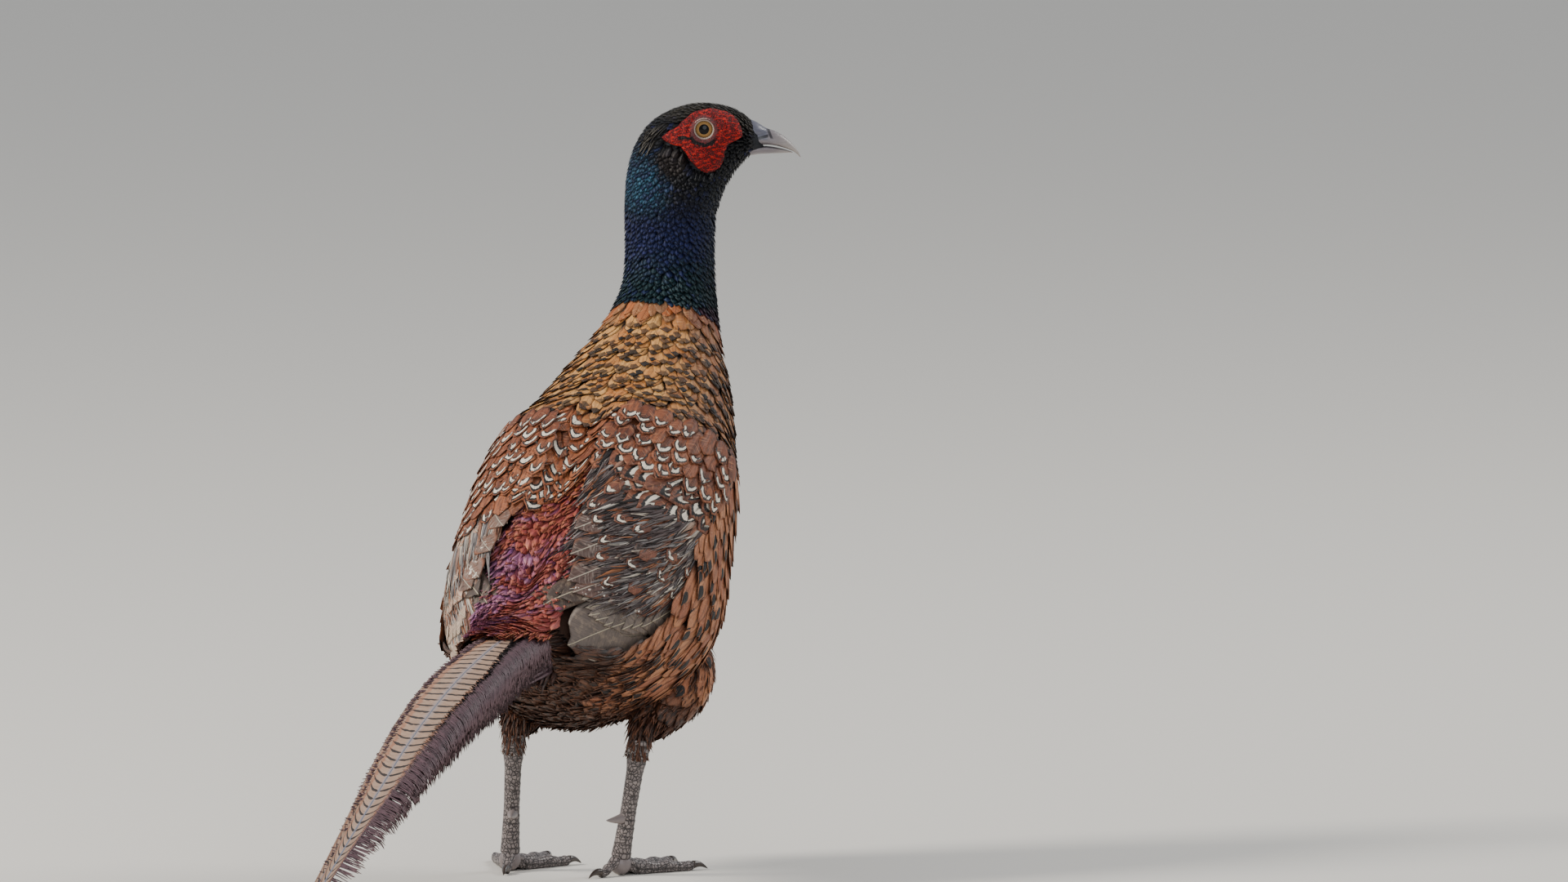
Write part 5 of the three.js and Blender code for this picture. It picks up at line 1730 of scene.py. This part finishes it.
def foot(leg, scales, horn):
    """The toes with the ball of the heel, and the claws."""
    word = leg["name"]
    parts, measures = [], []
    for toe in TOES:
        name, _, length = toe
        share = np.linspace(0, 1, TOE_RINGS)
        angle = circle(TOE_AROUND)
        line, way, radius = toe_line(leg, toe, share)
        across = np.array([way[1], -way[0], 0.0])
        raised = np.outer(plates(share * length / TOE_PLATE, 0.22), smooth(np.sin(angle), 0.1, 0.6))
        rounded = np.sqrt(np.clip(1 - smooth(share, 0.9, 1.05) ** 2, 0, 1))
        rings = tube(line, across, UP, (radius * rounded)[:, None] + raised)
        rings[..., 2] = np.maximum(rings[..., 2], 0.0)
        parts.append(loft(rings))
        measures.append(loft_measures(np.degrees(angle) * 0.06, share[:, None] * length, [(0, 0), (0, 50)]))
        s = np.linspace(0, 1, CLAW_RINGS)
        tip = line[-1] + way * (0.1 + CLAW_LENGTH * s)[:, None]
        tip[:, 2] = 2.6 - 2.2 * s**2 + 0.6 * np.sin(math.pi * s)
        points, faces = cone(tip, across, UP, 1.9 * (1 - s) ** 0.75 + 0.12)
        points[:, 2] = np.maximum(points[:, 2], 0.02)
        solid(f"nail_{word}_{name}", points, faces, horn, "claw", [f"claw_{word}_{name}"])
    x, y, z = leg["ankle"]
    tilt = np.linspace(0.03, math.pi - 0.03, HEEL_RINGS)[:, None]
    turn = circle(HEEL_AROUND)
    round_heel = [np.sin(tilt) * np.cos(turn), np.sin(tilt) * np.sin(turn), np.cos(tilt)]
    parts.append(loft(np.array([x, y, z - 2]) + HEEL_RADIUS * np.stack(spread(*round_heel), -1)))
    measures.append(np.full((len(parts[-1][0]), 2), (5, 20)))
    measure = np.concatenate(measures)
    solid(f"toes_{word}", *joined(parts), scales, "leg_skin", [f"foot_{word}"], {"Leg": measure})


def legs():
    scales = scale_paint()
    horn = grained_paint("claw", 0.3, "4a3c34", "1c1715", 700.0, 0.0001, Coat_Weight=0.3)
    for leg in LEGS:
        shank(leg, scales)
        foot(leg, scales, horn)


# Stage, light and camera

FLOOR_RADIUS = 40.0  # metres, wide enough to fill the picture from the camera's height
LAMP_AIM = Vector((0, 0.12, 0.2))
CAMERA_AZIMUTH = 23
CAMERA_ELEVATION = 5
CAMERA_DISTANCE = 12.3  # metres
PIXELS_PER_MM = 2.6  # of the photograph, at the bird
PHOTO_WIDTH = 1920
FRAME_MIDDLE = (92.8, 39.4, 206.6)  # what the middle of the photograph looks at
SENSOR = 36.0
# Lamps: name, size, power, place and tint
LAMPS = [
    ("key", 1.1, 150, (-2.6, -1.7, 2.3), (1.0, 0.95, 0.88)),
    ("fill", 2.4, 40, (1.8, -3.0, 1.2), (0.92, 0.96, 1.0)),
    ("rim", 1.4, 44, (1.6, 2.2, 2.4), (1.0, 0.98, 0.95)),
]


def placed(name, data, location=(0, 0, 0), way=None):
    """An object in the scene, aimed along a direction where one is given."""
    made = bpy.data.objects.new(name, data)
    made.location = location
    if way is not None:
        made.rotation_euler = way.to_track_quat("-Z", "Y").to_euler()
    bpy.context.scene.collection.objects.link(made)
    return made


def stage():
    paint = Paint("floor", 0.85)
    paint.shader.inputs["Base Color"].default_value = colour("e4e0d8")
    rim = [(FLOOR_RADIUS * math.cos(t), FLOOR_RADIUS * math.sin(t), 0.0) for t in circle(96)]
    mesh = bpy.data.meshes.new("floor")
    mesh.from_pydata(rim, [], [tuple(range(len(rim)))])
    mesh.materials.append(paint.material)
    floor = placed("floor", mesh)


def camera():
    data = bpy.data.cameras.new("camera")
    data.sensor_width = SENSOR
    data.lens = PIXELS_PER_MM * SENSOR / PHOTO_WIDTH * CAMERA_DISTANCE / MM
    data.clip_end = 100
    a, e = math.radians(CAMERA_AZIMUTH), math.radians(CAMERA_ELEVATION)
    away = Vector((math.sin(a) * math.cos(e), -math.cos(a) * math.cos(e), math.sin(e)))
    target = Vector(world(FRAME_MIDDLE))
    bpy.context.scene.camera = placed("camera", data, target + away * CAMERA_DISTANCE, -away)


def lights():
    for name, size, power, place, tint in LAMPS:
        data = bpy.data.lights.new(name, "AREA")
        data.shape = "DISK"
        data.size = size
        data.energy = power
        data.color = tint
        placed(name, data, place, LAMP_AIM - Vector(place))
    sky = bpy.data.worlds.new("studio")
    sky.use_nodes = True
    sky.node_tree.nodes["Background"].inputs["Color"].default_value = (0.85, 0.89, 0.95, 1)
    sky.node_tree.nodes["Background"].inputs["Strength"].default_value = 0.55
    bpy.context.scene.world = sky


skin()
head_coat()
neck_coat()
mantle_coat()
cape_coat()
rump_coat()
breast_coat()
down_coat()
thigh_coat()
wings()
tail()
tail_coverts()
wattles()
eyes()
bill()
legs()
camera()
stage()
lights()
